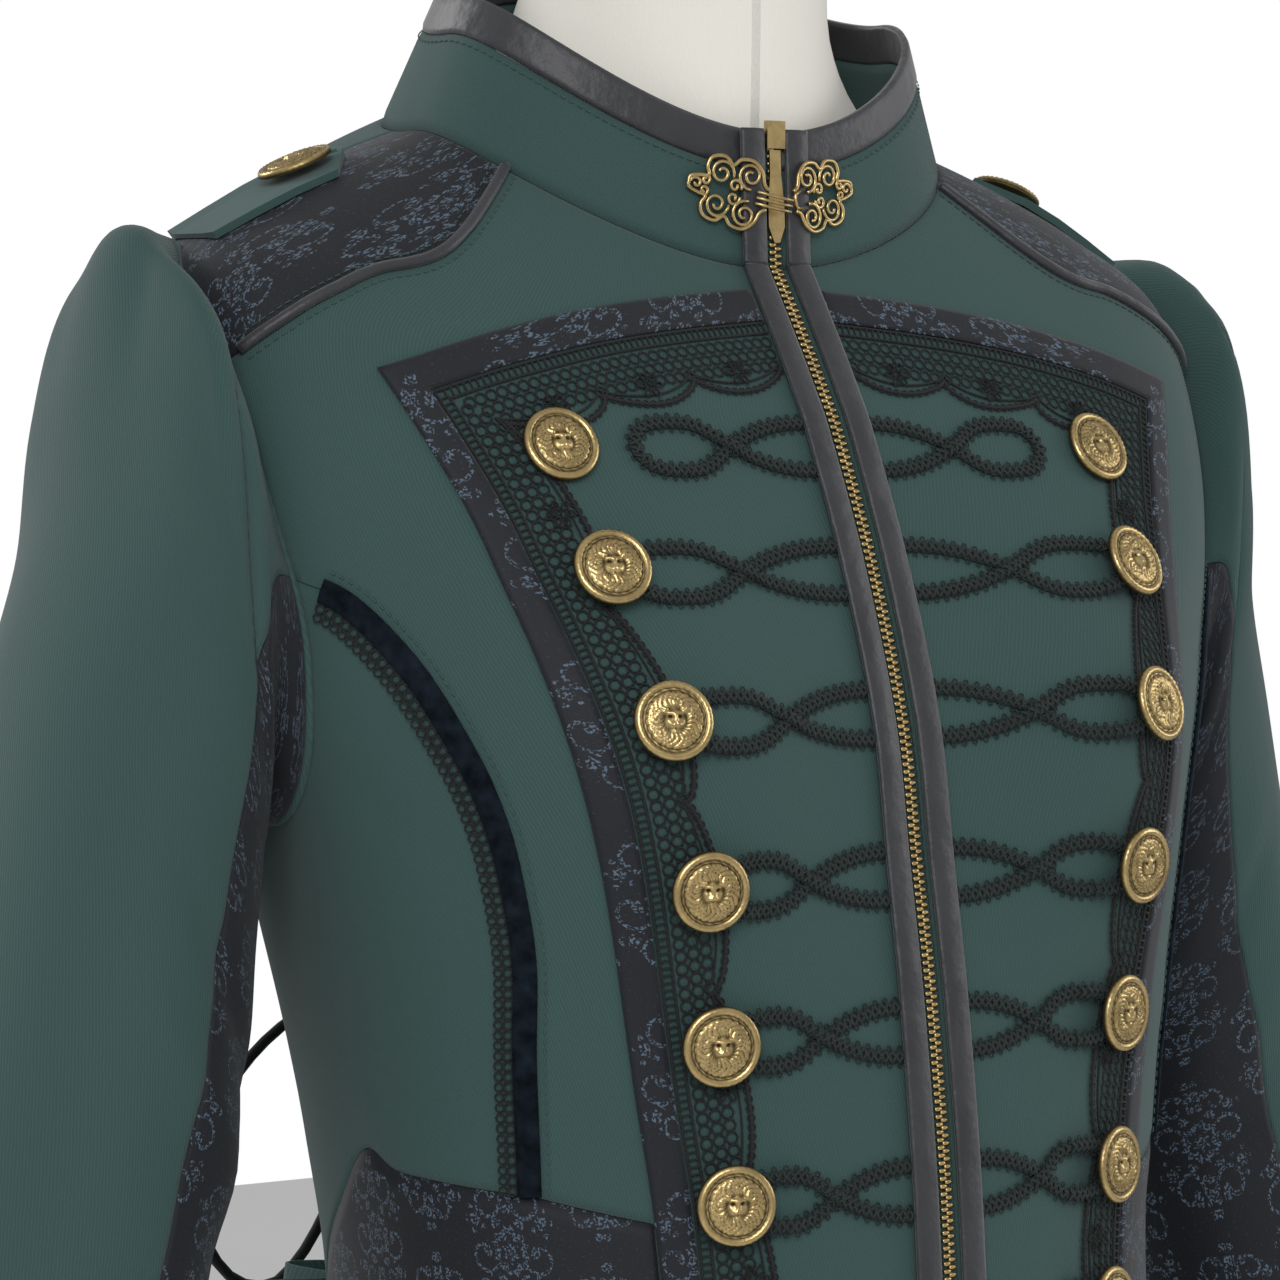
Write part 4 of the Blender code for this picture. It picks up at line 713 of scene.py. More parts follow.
def swept(spots, normals, section, side=1, closed=False, caps=True):
    """Cross-section of (across, height) points carried along a line on a surface."""
    along = np.gradient(spots, axis=0)
    along /= np.linalg.norm(along, axis=1, keepdims=True)
    across = np.cross(normals, along)
    across /= np.linalg.norm(across, axis=1, keepdims=True)
    section = np.asarray(section, float)
    if section.ndim == 2:
        section = np.broadcast_to(section, (len(spots), *section.shape))
    rings = spots[:, None] + across[:, None] * section[..., :1] + normals[:, None] * section[..., 1:]
    rows, columns = rings.shape[:2]
    faces = grid_faces(rows, columns, wrap=True)
    if closed:
        last = (rows - 1) * columns
        faces += [[last + k, last + (k + 1) % columns, (k + 1) % columns, k] for k in range(columns)]
    elif caps:
        faces.append(list(range(columns))[::-1])
        faces.append([(rows - 1) * columns + k for k in range(columns)])
    length = np.concatenate([[0], np.cumsum(np.linalg.norm(np.diff(spots, axis=0), axis=1))])
    uv = np.stack([np.broadcast_to(section[..., 0], (rows, columns)),
                   np.broadcast_to(length[:, None], (rows, columns))], -1).reshape(-1, 2)
    points = rings.reshape(-1, 3)
    if side < 0:
        points = points * np.array([-1.0, 1, 1])
        faces = [face[::-1] for face in faces]
    return points, [face[::-1] for face in faces], uv, None


def round_section(width, height, sides, base=0.0):
    """Cross-section of a flattened round cord that stands on its surface."""
    turns = np.linspace(0, 2 * math.pi, sides, endpoint=False)
    return np.stack([np.cos(turns) * width / 2, base + height / 2 + np.sin(turns) * height / 2], -1)


def ribbon_section(width, rise, thick, base=0.0, parts=6):
    """Cross-section of a ribbon whose middle rises."""
    x = np.linspace(-width / 2, width / 2, parts + 1)
    crown = base + thick + rise * (1 - (2 * x / width)**2)
    upper = np.stack([x[::-1], crown[::-1]], -1)
    return np.concatenate([[(-width / 2, base)], [(width / 2, base)], upper])


def tube(points, radius, sides=8):
    """Round tube along free points, with closed ends."""
    points = np.asarray(points, float)
    along = np.gradient(points, axis=0)
    along /= np.linalg.norm(along, axis=1, keepdims=True)
    frame_a = np.zeros_like(points)
    start = np.cross(along[0], (0.3, 0.2, 0.93))
    frame_a[0] = start / np.linalg.norm(start)
    for k in range(1, len(points)):
        carried = frame_a[k - 1] - along[k] * (frame_a[k - 1] @ along[k])
        frame_a[k] = carried / np.linalg.norm(carried)
    turns = np.linspace(0, 2 * math.pi, sides, endpoint=False)
    reach = np.broadcast_to(radius, len(points))[:, None, None]
    frame_b = np.cross(along, frame_a)
    rings = points[:, None] + reach * (np.cos(turns)[None, :, None] * frame_a[:, None]
                                       + np.sin(turns)[None, :, None] * frame_b[:, None])
    rows = len(points)
    faces = grid_faces(rows, sides, wrap=True)
    faces.append(list(range(sides))[::-1])
    faces.append([(rows - 1) * sides + k for k in range(sides)])
    length = np.concatenate([[0], np.cumsum(np.linalg.norm(np.diff(points, axis=0), axis=1))])
    uv = np.stack([np.broadcast_to(turns * np.mean(radius), (rows, sides)),
                   np.broadcast_to(length[:, None], (rows, sides))], -1).reshape(-1, 2)
    return rings.reshape(-1, 3), faces, uv, None


def ring_stamp(outer, thick, long_sides=10, short_sides=4, stretch=1.0):
    """Small ring lying flat, for lace and loops."""
    around = np.linspace(0, 2 * math.pi, long_sides, endpoint=False)
    turns = np.linspace(0, 2 * math.pi, short_sides, endpoint=False)
    middle = outer - thick / 2
    reach = middle + np.cos(turns)[None] * thick / 2
    points = np.stack([reach * np.cos(around)[:, None], reach * np.sin(around)[:, None] * stretch,
                       np.broadcast_to(thick / 2 + np.sin(turns) * thick / 2,
                                       (long_sides, short_sides))], -1)
    faces = grid_faces(long_sides, short_sides, wrap=True)
    last = (long_sides - 1) * short_sides
    faces += [[last + k, last + (k + 1) % short_sides, (k + 1) % short_sides, k] for k in range(short_sides)]
    return points.reshape(-1, 3), faces, None, None


# Geometry Nodes: one stamp repeated on marked points


def repeat_tree():
    """Tree that sets a stamp on each point, turned by its marks, as real faces."""
    tree = bpy.data.node_groups.get("Stamp on points")
    if tree:
        return tree
    tree = bpy.data.node_groups.new("Stamp on points", "GeometryNodeTree")
    face = tree.interface
    face.new_socket("Points", in_out="INPUT", socket_type="NodeSocketGeometry")
    face.new_socket("Stamp", in_out="INPUT", socket_type="NodeSocketObject")
    size = face.new_socket("Size", in_out="INPUT", socket_type="NodeSocketFloat")
    size.default_value = 1.0
    face.new_socket("Finish", in_out="INPUT", socket_type="NodeSocketMaterial")
    face.new_socket("Pieces", in_out="OUTPUT", socket_type="NodeSocketGeometry")
    start = tree.nodes.new("NodeGroupInput")
    end = tree.nodes.new("NodeGroupOutput")
    to_points = tree.nodes.new("GeometryNodeMeshToPoints")
    info = tree.nodes.new("GeometryNodeObjectInfo")
    place = tree.nodes.new("GeometryNodeInstanceOnPoints")
    turn = tree.nodes.new("FunctionNodeAxesToRotation")
    turn.primary_axis = "Z"
    turn.secondary_axis = "X"
    marks = {}
    for label, kind in (("facing", "FLOAT_VECTOR"), ("along", "FLOAT_VECTOR"), ("size", "FLOAT_VECTOR")):
        marks[label] = tree.nodes.new("GeometryNodeInputNamedAttribute")
        marks[label].data_type = kind
        marks[label].inputs["Name"].default_value = label
    scale = tree.nodes.new("ShaderNodeVectorMath")
    scale.operation = "SCALE"
    realize = tree.nodes.new("GeometryNodeRealizeInstances")
    paint = tree.nodes.new("GeometryNodeSetMaterial")
    link = tree.links.new
    link(start.outputs["Points"], to_points.inputs["Mesh"])
    link(to_points.outputs["Points"], place.inputs["Points"])
    link(start.outputs["Stamp"], info.inputs["Object"])
    link(info.outputs["Geometry"], place.inputs["Instance"])
    link(marks["facing"].outputs["Attribute"], turn.inputs["Primary Axis"])
    link(marks["along"].outputs["Attribute"], turn.inputs["Secondary Axis"])
    link(turn.outputs["Rotation"], place.inputs["Rotation"])
    link(marks["size"].outputs["Attribute"], scale.inputs[0])
    link(start.outputs["Size"], scale.inputs["Scale"])
    link(scale.outputs["Vector"], place.inputs["Scale"])
    link(place.outputs["Instances"], realize.inputs["Geometry"])
    link(realize.outputs["Geometry"], paint.inputs["Geometry"])
    link(start.outputs["Finish"], paint.inputs["Material"])
    link(paint.outputs["Geometry"], end.inputs["Pieces"])
    return tree


def repeated(name, stamp, spots, facing, along, material, sizes=None, size=1.0):
    """Object with the stamp on each point; the stamp's +Z faces out and its +X runs along."""
    spots = np.asarray(spots, float)
    pattern = mesh_piece(f"{name}_stamp", stamp[0], stamp[1], material, stamp[2], stamp[3])
    points = mesh_piece(f"{name}_points", spots, [], material)
    if sizes is None:
        sizes = np.ones((len(spots), 3))
    for label, values in (("facing", facing), ("along", along), ("size", sizes)):
        store = points.data.attributes.new(label, "FLOAT_VECTOR", "POINT")
        store.data.foreach_set("vector", np.asarray(values, float).ravel())
    tree = repeat_tree()
    modifier = points.modifiers.new("Stamps", "NODES")
    modifier.node_group = tree
    wanted = {"Stamp": pattern, "Size": float(size), "Finish": material}
    for item in tree.interface.items_tree:
        if item.in_out == "INPUT" and item.name in wanted:
            modifier[item.identifier] = wanted[item.name]
    deps = bpy.context.evaluated_depsgraph_get()
    mesh = bpy.data.meshes.new_from_object(points.evaluated_get(deps))
    points.modifiers.remove(modifier)
    for old in (points, pattern):
        old_mesh = old.data
        bpy.data.objects.remove(old, do_unlink=True)
        bpy.data.meshes.remove(old_mesh)
    for label in ("facing", "along", "size"):
        if label in mesh.attributes:
            mesh.attributes.remove(mesh.attributes[label])
    mesh.name = name
    mesh.materials.clear()
    mesh.materials.append(material)
    mesh.shade_smooth()
    piece = bpy.data.objects.new(name, mesh)
    bpy.context.scene.collection.objects.link(piece)
    return piece


def merged(name, pieces):
    """Several pieces as one object, keeping each one's material."""
    whole = bmesh.new()
    whole.loops.layers.uv.new("UVMap")
    relief = whole.verts.layers.float.new("relief")
    materials = []
    for piece in pieces:
        slot_map = {}
        for number, material in enumerate(piece.data.materials):
            if material not in materials:
                materials.append(material)
            slot_map[number] = materials.index(material)
        has_relief = "relief" in piece.data.attributes
        first_face, first_vert = len(whole.faces), len(whole.verts)
        whole.from_mesh(piece.data)
        whole.faces.ensure_lookup_table()
        whole.verts.ensure_lookup_table()
        for face in whole.faces[first_face:]:
            face.material_index = slot_map.get(face.material_index, 0)
        if not has_relief:
            for vert in whole.verts[first_vert:]:
                vert[relief] = 1.0
        old_mesh = piece.data
        bpy.data.objects.remove(piece, do_unlink=True)
        bpy.data.meshes.remove(old_mesh)
    mesh = bpy.data.meshes.new(name)
    whole.to_mesh(mesh)
    whole.free()
    for material in materials:
        mesh.materials.append(material)
    mesh.shade_smooth()
    piece = bpy.data.objects.new(name, mesh)
    bpy.context.scene.collection.objects.link(piece)
    return piece


# Finishes


def add(tree, kind, inputs=None, **settings):
    """Node with its settings, its inputs set or linked."""
    item = tree.nodes.new(kind)
    for key, value in settings.items():
        setattr(item, key, value)
    for key, value in (inputs or {}).items():
        if isinstance(value, bpy.types.NodeSocket):
            tree.links.new(value, item.inputs[key])
        else:
            item.inputs[key].default_value = value
    return item


def sums(tree, operation, *values):
    """Output of a Math node."""
    item = tree.nodes.new("ShaderNodeMath")
    item.operation = operation
    for number, value in enumerate(values):
        if isinstance(value, bpy.types.NodeSocket):
            tree.links.new(value, item.inputs[number])
        else:
            item.inputs[number].default_value = value
    return item.outputs[0]


def ramp(tree, value, stops):
    """Colour ramp's output over (place, grey) stops."""
    item = add(tree, "ShaderNodeValToRGB", {"Fac": value})
    edge = item.color_ramp
    while len(edge.elements) < len(stops):
        edge.elements.new(0.5)
    for element, (place, grey) in zip(edge.elements, stops):
        element.position = place
        element.color = (grey, grey, grey, 1)
    return item.outputs["Color"]


def group(name, inputs, outputs, build):
    """Shader node group, built once; build fills it from its input sockets."""
    tree = bpy.data.node_groups.get(name)
    if tree:
        return tree
    tree = bpy.data.node_groups.new(name, "ShaderNodeTree")
    kinds = {"float": "NodeSocketFloat", "vector": "NodeSocketVector", "color": "NodeSocketColor"}
    for label, kind, default in inputs:
        socket = tree.interface.new_socket(label, in_out="INPUT", socket_type=kinds[kind])
        if default is not None:
            socket.default_value = default
    for label, kind in outputs:
        tree.interface.new_socket(label, in_out="OUTPUT", socket_type=kinds[kind])
    start = tree.nodes.new("NodeGroupInput")
    end = tree.nodes.new("NodeGroupOutput")
    for label, socket in build(tree, start.outputs).items():
        tree.links.new(socket, end.inputs[label])
    return tree


def place_group(tree, made, inputs):
    """A node group placed in a material, with its inputs set or linked."""
    item = tree.nodes.new("ShaderNodeGroup")
    item.node_tree = made
    for key, value in inputs.items():
        if isinstance(value, bpy.types.NodeSocket):
            tree.links.new(value, item.inputs[key])
        else:
            item.inputs[key].default_value = value
    return item


def build_weave(tree, given):
    """Slanted wales crossed by finer threads, with slow drift in the yarn."""
    parts = add(tree, "ShaderNodeSeparateXYZ", {"Vector": given["Flat"]})
    lean = sums(tree, "MULTIPLY", parts.outputs["Y"], given["Slant"])
    drift = add(tree, "ShaderNodeTexNoise", {"Vector": given["Flat"], "Scale": 260.0, "Detail": 2.0})
    bend = sums(tree, "MULTIPLY", drift.outputs["Fac"], sums(tree, "MULTIPLY", given["Pitch"], 0.9))
    across = sums(tree, "DIVIDE", sums(tree, "ADD", sums(tree, "ADD", parts.outputs["X"], lean), bend),
                  given["Pitch"])
    wale = sums(tree, "SINE", sums(tree, "MULTIPLY", across, 2 * math.pi))
    down = sums(tree, "DIVIDE", parts.outputs["Y"], sums(tree, "MULTIPLY", given["Pitch"], 0.62))
    pick = sums(tree, "SINE", sums(tree, "ADD", sums(tree, "MULTIPLY", down, 2 * math.pi),
                                   sums(tree, "MULTIPLY", across, math.pi)))
    height = sums(tree, "ADD", sums(tree, "MULTIPLY", wale, 0.36), sums(tree, "MULTIPLY", pick, 0.16))
    height = sums(tree, "ADD", height, 0.5)
    grain = add(tree, "ShaderNodeTexNoise", {"Vector": given["Flat"], "Scale": 1500.0, "Detail": 2.0})
    # Painted shade and highlight: the threads' height darkens their hollows and lightens their crests; the noise
    # adds random fibre grain.
    painted_shade_and_grain = sums(tree, "ADD", sums(tree, "MULTIPLY", height, 0.6), sums(tree, "MULTIPLY", grain.outputs["Fac"], 0.4))
    return {"Height": height, "Shade": painted_shade_and_grain}


def weave_group():
    """Cloth's threads, shared by every woven finish."""
    return group("Weave", [("Flat", "vector", None), ("Pitch", "float", 0.0011), ("Slant", "float", 0.25)],
                 [("Height", "float"), ("Shade", "float")], build_weave)


def build_patches(tree, given):
    """Soft uneven patches of light and dark."""
    wide = add(tree, "ShaderNodeTexNoise", {"Vector": given["Spot"], "Scale": given["Scale"], "Detail": 3.0})
    return {"Shade": ramp(tree, wide.outputs["Fac"], ((0.3, 0.0), (0.7, 1.0)))}


def patches_group():
    """Slow change of tone, shared by cloth and metal."""
    return group("Patches", [("Spot", "vector", None), ("Scale", "float", 9.0)], [("Shade", "float")],
                 build_patches)


def build_damask(tree, given):
    """Generic half-drop damask of rosettes, leaves and scrolls, broken into flecks."""
    parts = add(tree, "ShaderNodeSeparateXYZ", {"Vector": given["Flat"]})
    warp = add(tree, "ShaderNodeTexNoise", {"Vector": given["Flat"], "Scale": 60.0, "Detail": 1.0})
    shift = sums(tree, "MULTIPLY", sums(tree, "SUBTRACT", warp.outputs["Fac"], 0.5), 0.12)
    column = sums(tree, "DIVIDE", parts.outputs["X"], given["Width"])
    odd = sums(tree, "MULTIPLY", sums(tree, "MODULO", sums(tree, "FLOOR", column), 2.0), 0.5)
    row = sums(tree, "ADD", sums(tree, "DIVIDE", parts.outputs["Y"], given["Height"]), odd)
    x = sums(tree, "ABSOLUTE", sums(tree, "MULTIPLY", sums(tree, "SUBTRACT", sums(tree, "FRACT", column), 0.5), 2.0))
    x = sums(tree, "ADD", x, shift)
    y = sums(tree, "MULTIPLY", sums(tree, "SUBTRACT", sums(tree, "FRACT", row), 0.5), 2.0)
    y = sums(tree, "ADD", y, shift)
    wide = sums(tree, "MULTIPLY", x, 0.66)

    def polar(centre_x, centre_y):
        off_x = sums(tree, "SUBTRACT", wide, centre_x)
        off_y = sums(tree, "SUBTRACT", y, centre_y)
        reach = sums(tree, "SQRT", sums(tree, "ADD", sums(tree, "MULTIPLY", off_x, off_x),
                                        sums(tree, "MULTIPLY", off_y, off_y)))
        return reach, sums(tree, "ARCTAN2", off_y, off_x)

    def petals(centre, reach, wave, count, rings):
        radius, turn = polar(*centre)
        lobes = sums(tree, "MULTIPLY", sums(tree, "COSINE", sums(tree, "MULTIPLY", turn, count)), wave)
        edge = sums(tree, "ADD", lobes, reach)
        inside = sums(tree, "LESS_THAN", radius, edge)
        swirl = sums(tree, "ADD", sums(tree, "MULTIPLY", radius, rings), sums(tree, "MULTIPLY", lobes, 14.0))
        veins = sums(tree, "GREATER_THAN", sums(tree, "SINE", swirl), -0.35)
        return sums(tree, "MULTIPLY", inside, veins)

    def scroll(centre, reach, thick):
        radius, turn = polar(*centre)
        line = sums(tree, "ABSOLUTE", sums(tree, "SUBTRACT", radius, sums(
            tree, "ADD", reach, sums(tree, "MULTIPLY", turn, 0.022))))
        return sums(tree, "LESS_THAN", line, thick)

    shapes = [petals((0.0, 0.06), 0.34, 0.09, 6.0, 34.0), petals((0.0, 0.68), 0.17, 0.06, 5.0, 40.0),
              petals((0.0, -0.62), 0.2, 0.08, 4.0, 36.0), petals((0.5, -0.3), 0.13, 0.05, 5.0, 44.0),
              petals((0.46, 0.46), 0.12, 0.05, 3.0, 44.0), scroll((0.3, -0.52), 0.15, 0.025),
              scroll((0.42, 0.12), 0.16, 0.022), scroll((0.26, 0.56), 0.12, 0.02)]
    mask = shapes[0]
    for shape in shapes[1:]:
        mask = sums(tree, "MAXIMUM", mask, shape)
    flecks = add(tree, "ShaderNodeTexNoise", {"Vector": given["Flat"], "Scale": 1150.0, "Detail": 1.5})
    broken = ramp(tree, flecks.outputs["Fac"], ((0.49, 0.0), (0.56, 1.0)))
    stray = ramp(tree, flecks.outputs["Fac"], ((0.66, 0.0), (0.72, 0.5)))
    return {"Mask": sums(tree, "MAXIMUM", sums(tree, "MULTIPLY", mask, broken), sums(tree, "MULTIPLY", stray, 0.6))}


def damask_group():
    """Pattern of the damask panels and borders."""
    return group("Damask", [("Flat", "vector", None), ("Width", "float", 0.034), ("Height", "float", 0.054)],
                 [("Mask", "float")], build_damask)


def build_twist(tree, given):
    """Plies of a twisted thread, slanted across the object's own directions."""
    bands = add(tree, "ShaderNodeTexWave", {"Vector": given["Spot"], "Scale": given["Scale"],
                                            "Distortion": 2.0, "Detail": 1.0}, bands_direction="DIAGONAL")
    return {"Height": bands.outputs["Fac"]}


def twist_group():
    """Thread's twist, shared by lace, braid and stitches."""
    return group("Twist", [("Spot", "vector", None), ("Scale", "float", 500.0)], [("Height", "float")],
                 build_twist)


def fresh_material(name):
    """Material with its tree, shader and coordinates."""
    material = bpy.data.materials.new(name)
    material.use_nodes = True
    tree = material.node_tree
    shader = tree.nodes["Principled BSDF"]
    coordinates = tree.nodes.new("ShaderNodeTexCoord")
    return material, tree, shader, coordinates


def mix(tree, factor, first, second, blend="MIX"):
    """Mixed colour of two colours or sockets."""
    item = tree.nodes.new("ShaderNodeMix")
    item.data_type = "RGBA"
    item.blend_type = blend
    for number, value in ((0, factor), (6, first), (7, second)):
        if isinstance(value, bpy.types.NodeSocket):
            tree.links.new(value, item.inputs[number])
        elif number:
            item.inputs[number].default_value = (*value[:3], 1.0)
        else:
            item.inputs[number].default_value = value
    return item.outputs[2]


def scaled(colour, share):
    """Colour made lighter or darker."""
    return tuple(min(channel * share, 1.0) for channel in colour[:3])


def bump(tree, shader, height, distance, strength=1.0):
    """Bump from a height socket; distance in metres."""
    item = add(tree, "ShaderNodeBump", {"Height": height, "Distance": distance, "Strength": strength})
    tree.links.new(item.outputs["Normal"], shader.inputs["Normal"])
    return item


def twill(name, colour, pitch, depth=0.00012, slant=0.22, painted_shade_contrast=0.32):
    """Woven cloth in one colour."""
    material, tree, shader, coordinates = fresh_material(name)
    weave = place_group(tree, weave_group(), {"Flat": coordinates.outputs["UV"], "Pitch": pitch, "Slant": slant})
    soft = place_group(tree, patches_group(), {"Spot": coordinates.outputs["Object"], "Scale": 7.0})
    # Painted shade: the weave's hollows darker and its crests lighter than the cloth's own colour, with random fibre
    # grain.
    threads = mix(tree, weave.outputs["Shade"], scaled(colour, 1 - painted_shade_contrast), scaled(colour, 1 + painted_shade_contrast))
    worn = mix(tree, soft.outputs["Shade"], scaled(colour, 0.92), scaled(colour, 1.08))
    base = mix(tree, 0.35, threads, worn)
    tree.links.new(base, shader.inputs["Base Color"])
    shader.inputs["Roughness"].default_value = 0.86
    shader.inputs["Sheen Weight"].default_value = 0.12
    shader.inputs["Sheen Roughness"].default_value = 0.45
    shader.inputs["Specular IOR Level"].default_value = 0.22
    bump(tree, shader, weave.outputs["Height"], depth)
    return material


def damask(name, ground, figure):
    """Dark cloth with a paler flecked damask."""
    material, tree, shader, coordinates = fresh_material(name)
    flat = coordinates.outputs["UV"]
    weave = place_group(tree, weave_group(), {"Flat": flat, "Pitch": 0.0008, "Slant": 0.5})
    pattern = place_group(tree, damask_group(), {"Flat": flat})
    tone = add(tree, "ShaderNodeTexNoise", {"Vector": flat, "Scale": 420.0, "Detail": 2.0})
    pale = mix(tree, tone.outputs["Fac"], scaled(figure, 0.45), scaled(figure, 1.5))
    # Painted shade on the ground: darker in the weave's hollows and lighter on its crests, with random fibre grain.
    dark = mix(tree, weave.outputs["Shade"], scaled(ground, 0.75), scaled(ground, 1.25))
    tree.links.new(mix(tree, pattern.outputs["Mask"], dark, pale), shader.inputs["Base Color"])
    shader.inputs["Roughness"].default_value = 0.62
    shader.inputs["Sheen Weight"].default_value = 0.1
    shader.inputs["Specular IOR Level"].default_value = 0.3
    height = sums(tree, "ADD", sums(tree, "MULTIPLY", pattern.outputs["Mask"], 0.8),
                  sums(tree, "MULTIPLY", weave.outputs["Height"], 0.4))
    bump(tree, shader, height, 0.00012)
    return material


def satin(name, colour):
    """Smooth dark cloth with short soft wrinkles."""
    material, tree, shader, coordinates = fresh_material(name)
    spot = coordinates.outputs["Object"]
    soft = place_group(tree, patches_group(), {"Spot": spot, "Scale": 60.0})
    tone = mix(tree, soft.outputs["Shade"], scaled(colour, 0.8), scaled(colour, 1.3))
    tree.links.new(tone, shader.inputs["Base Color"])
    creases = add(tree, "ShaderNodeTexNoise", {"Vector": spot, "Scale": 85.0, "Detail": 3.0, "Roughness": 0.55})
    grain = add(tree, "ShaderNodeTexNoise", {"Vector": spot, "Scale": 1600.0, "Detail": 1.0})
    shader.inputs["Roughness"].default_value = 0.46
    shader.inputs["Sheen Weight"].default_value = 0.2
    height = sums(tree, "ADD", creases.outputs["Fac"], sums(tree, "MULTIPLY", grain.outputs["Fac"], 0.06))
    bump(tree, shader, height, 0.0011)
    return material


def velvet(name, colour):
    """Deep pile, dark face on and paler at the edges."""
    material, tree, shader, coordinates = fresh_material(name)
    spot = coordinates.outputs["Object"]
    soft = place_group(tree, patches_group(), {"Spot": spot, "Scale": 170.0})
    tone = mix(tree, soft.outputs["Shade"], scaled(colour, 0.5), scaled(colour, 1.8))
    tree.links.new(tone, shader.inputs["Base Color"])
    shader.inputs["Roughness"].default_value = 1.0
    shader.inputs["Specular IOR Level"].default_value = 0.05
    shader.inputs["Sheen Weight"].default_value = 0.12
    shader.inputs["Sheen Roughness"].default_value = 0.35
    shader.inputs["Sheen Tint"].default_value = (0.16, 0.24, 0.32, 1.0)
    pile = add(tree, "ShaderNodeTexNoise", {"Vector": spot, "Scale": 1400.0, "Detail": 1.0})
    bump(tree, shader, pile.outputs["Fac"], 0.0002)
    return material


def thread(name, colour, gloss, scale=420.0, depth=0.00012):
    """Twisted thread of lace, braid and cords."""
    material, tree, shader, coordinates = fresh_material(name)
    spot = coordinates.outputs["Object"]
    twist = place_group(tree, twist_group(), {"Spot": spot, "Scale": scale})
    # Painted highlight and shade: the twist's crests lighter and its grooves darker than the thread's colour.
    tone = mix(tree, twist.outputs["Height"], scaled(colour, 0.6), scaled(colour, 1.7))
    tree.links.new(tone, shader.inputs["Base Color"])
    shader.inputs["Roughness"].default_value = gloss
    shader.inputs["Sheen Weight"].default_value = 0.03
    bump(tree, shader, twist.outputs["Height"], depth)
    return material


def aged_brass(name, colour):
    """Brass with dark patina in its recesses and rubbed high places."""
    material, tree, shader, coordinates = fresh_material(name)
    spot = coordinates.outputs["Object"]
    height = add(tree, "ShaderNodeAttribute", attribute_name="relief")
    soft = place_group(tree, patches_group(), {"Spot": spot, "Scale": 240.0})
    rubbed = mix(tree, soft.outputs["Shade"], scaled(colour, 0.8), scaled(colour, 1.2))
    dirt = ramp(tree, height.outputs["Fac"], ((0.12, 0.0), (0.62, 1.0)))
    tree.links.new(mix(tree, dirt, scaled(colour, 0.13), rubbed), shader.inputs["Base Color"])
    rough = add(tree, "ShaderNodeMapRange", {"Value": dirt, "To Min": 0.62, "To Max": 0.3})
    tree.links.new(rough.outputs["Result"], shader.inputs["Roughness"])
    shader.inputs["Metallic"].default_value = 1.0
    pits = add(tree, "ShaderNodeTexNoise", {"Vector": spot, "Scale": 1300.0, "Detail": 2.0})
    bump(tree, shader, pits.outputs["Fac"], 0.00005)
    return material


def brushed_steel(name, colour):
    """Stand's metal, brushed along its pole."""
    material, tree, shader, coordinates = fresh_material(name)
    stretch = add(tree, "ShaderNodeMapping", {"Vector": coordinates.outputs["Object"], "Scale": (1, 1, 40)})
    lines = add(tree, "ShaderNodeTexNoise", {"Vector": stretch.outputs["Vector"], "Scale": 90.0, "Detail": 4.0})
    tone = mix(tree, lines.outputs["Fac"], scaled(colour, 0.85), scaled(colour, 1.1))
    tree.links.new(tone, shader.inputs["Base Color"])
    rough = add(tree, "ShaderNodeMapRange", {"Value": lines.outputs["Fac"], "To Min": 0.25, "To Max": 0.42})
    tree.links.new(rough.outputs["Result"], shader.inputs["Roughness"])
    shader.inputs["Metallic"].default_value = 1.0
    return material


# Sizes and colours that a user would change


def length_of(label, text, default):
    """Length property in metres."""
    return FloatProperty(name=label, description=text, default=default, min=0.0, unit="LENGTH", precision=5)


def colour_of(label, text, default):
    """Colour property."""
    return FloatVectorProperty(name=label, description=text, default=default, size=3, min=0.0, max=1.0,
                               subtype="COLOR")


class JacketSizes(bpy.types.PropertyGroup):
    """Sizes of the cloth and its trims."""

    cloth: length_of("Cloth", "Thickness of the cloth walls", 0.0016)
    wale: length_of("Wale", "Spacing of the twill's wales", 0.0011)
    tooth_pitch: length_of("Tooth pitch", "Spacing of the zip's teeth on one side", 0.0024)
    stitch_pitch: length_of("Stitch pitch", "Spacing of the topstitches", 0.0031)
    strand_pitch: length_of("Strand pitch", "Spacing of the braid's strands", 0.0027)


class JacketColours(bpy.types.PropertyGroup):
    """Colours of the finishes."""

    green: colour_of("Green", "Twill of the body and sleeves", (0.040, 0.082, 0.077))
    ground: colour_of("Damask ground", "Dark ground of the damask", (0.008, 0.009, 0.013))
    figure: colour_of("Damask figure", "Flecks of the damask", (0.085, 0.125, 0.175))
    satin: colour_of("Satin", "Bindings, strips and piping", (0.020, 0.021, 0.025))
    velvet: colour_of("Velvet", "Ribbon on the princess seam", (0.006, 0.009, 0.013))
    lace: colour_of("Lace", "Lace and lacing cords", (0.0035, 0.004, 0.005))
    braid: colour_of("Braid", "Frogs", (0.004, 0.011, 0.010))
    brass: colour_of("Brass", "Buttons, clasp and zip", (0.50, 0.37, 0.17))
    linen: colour_of("Linen", "Dress form", (0.80, 0.78, 0.71))
    steel: colour_of("Steel", "Stand", (0.55, 0.55, 0.54))


FINISH = {}
SEAM_PARTS = 7


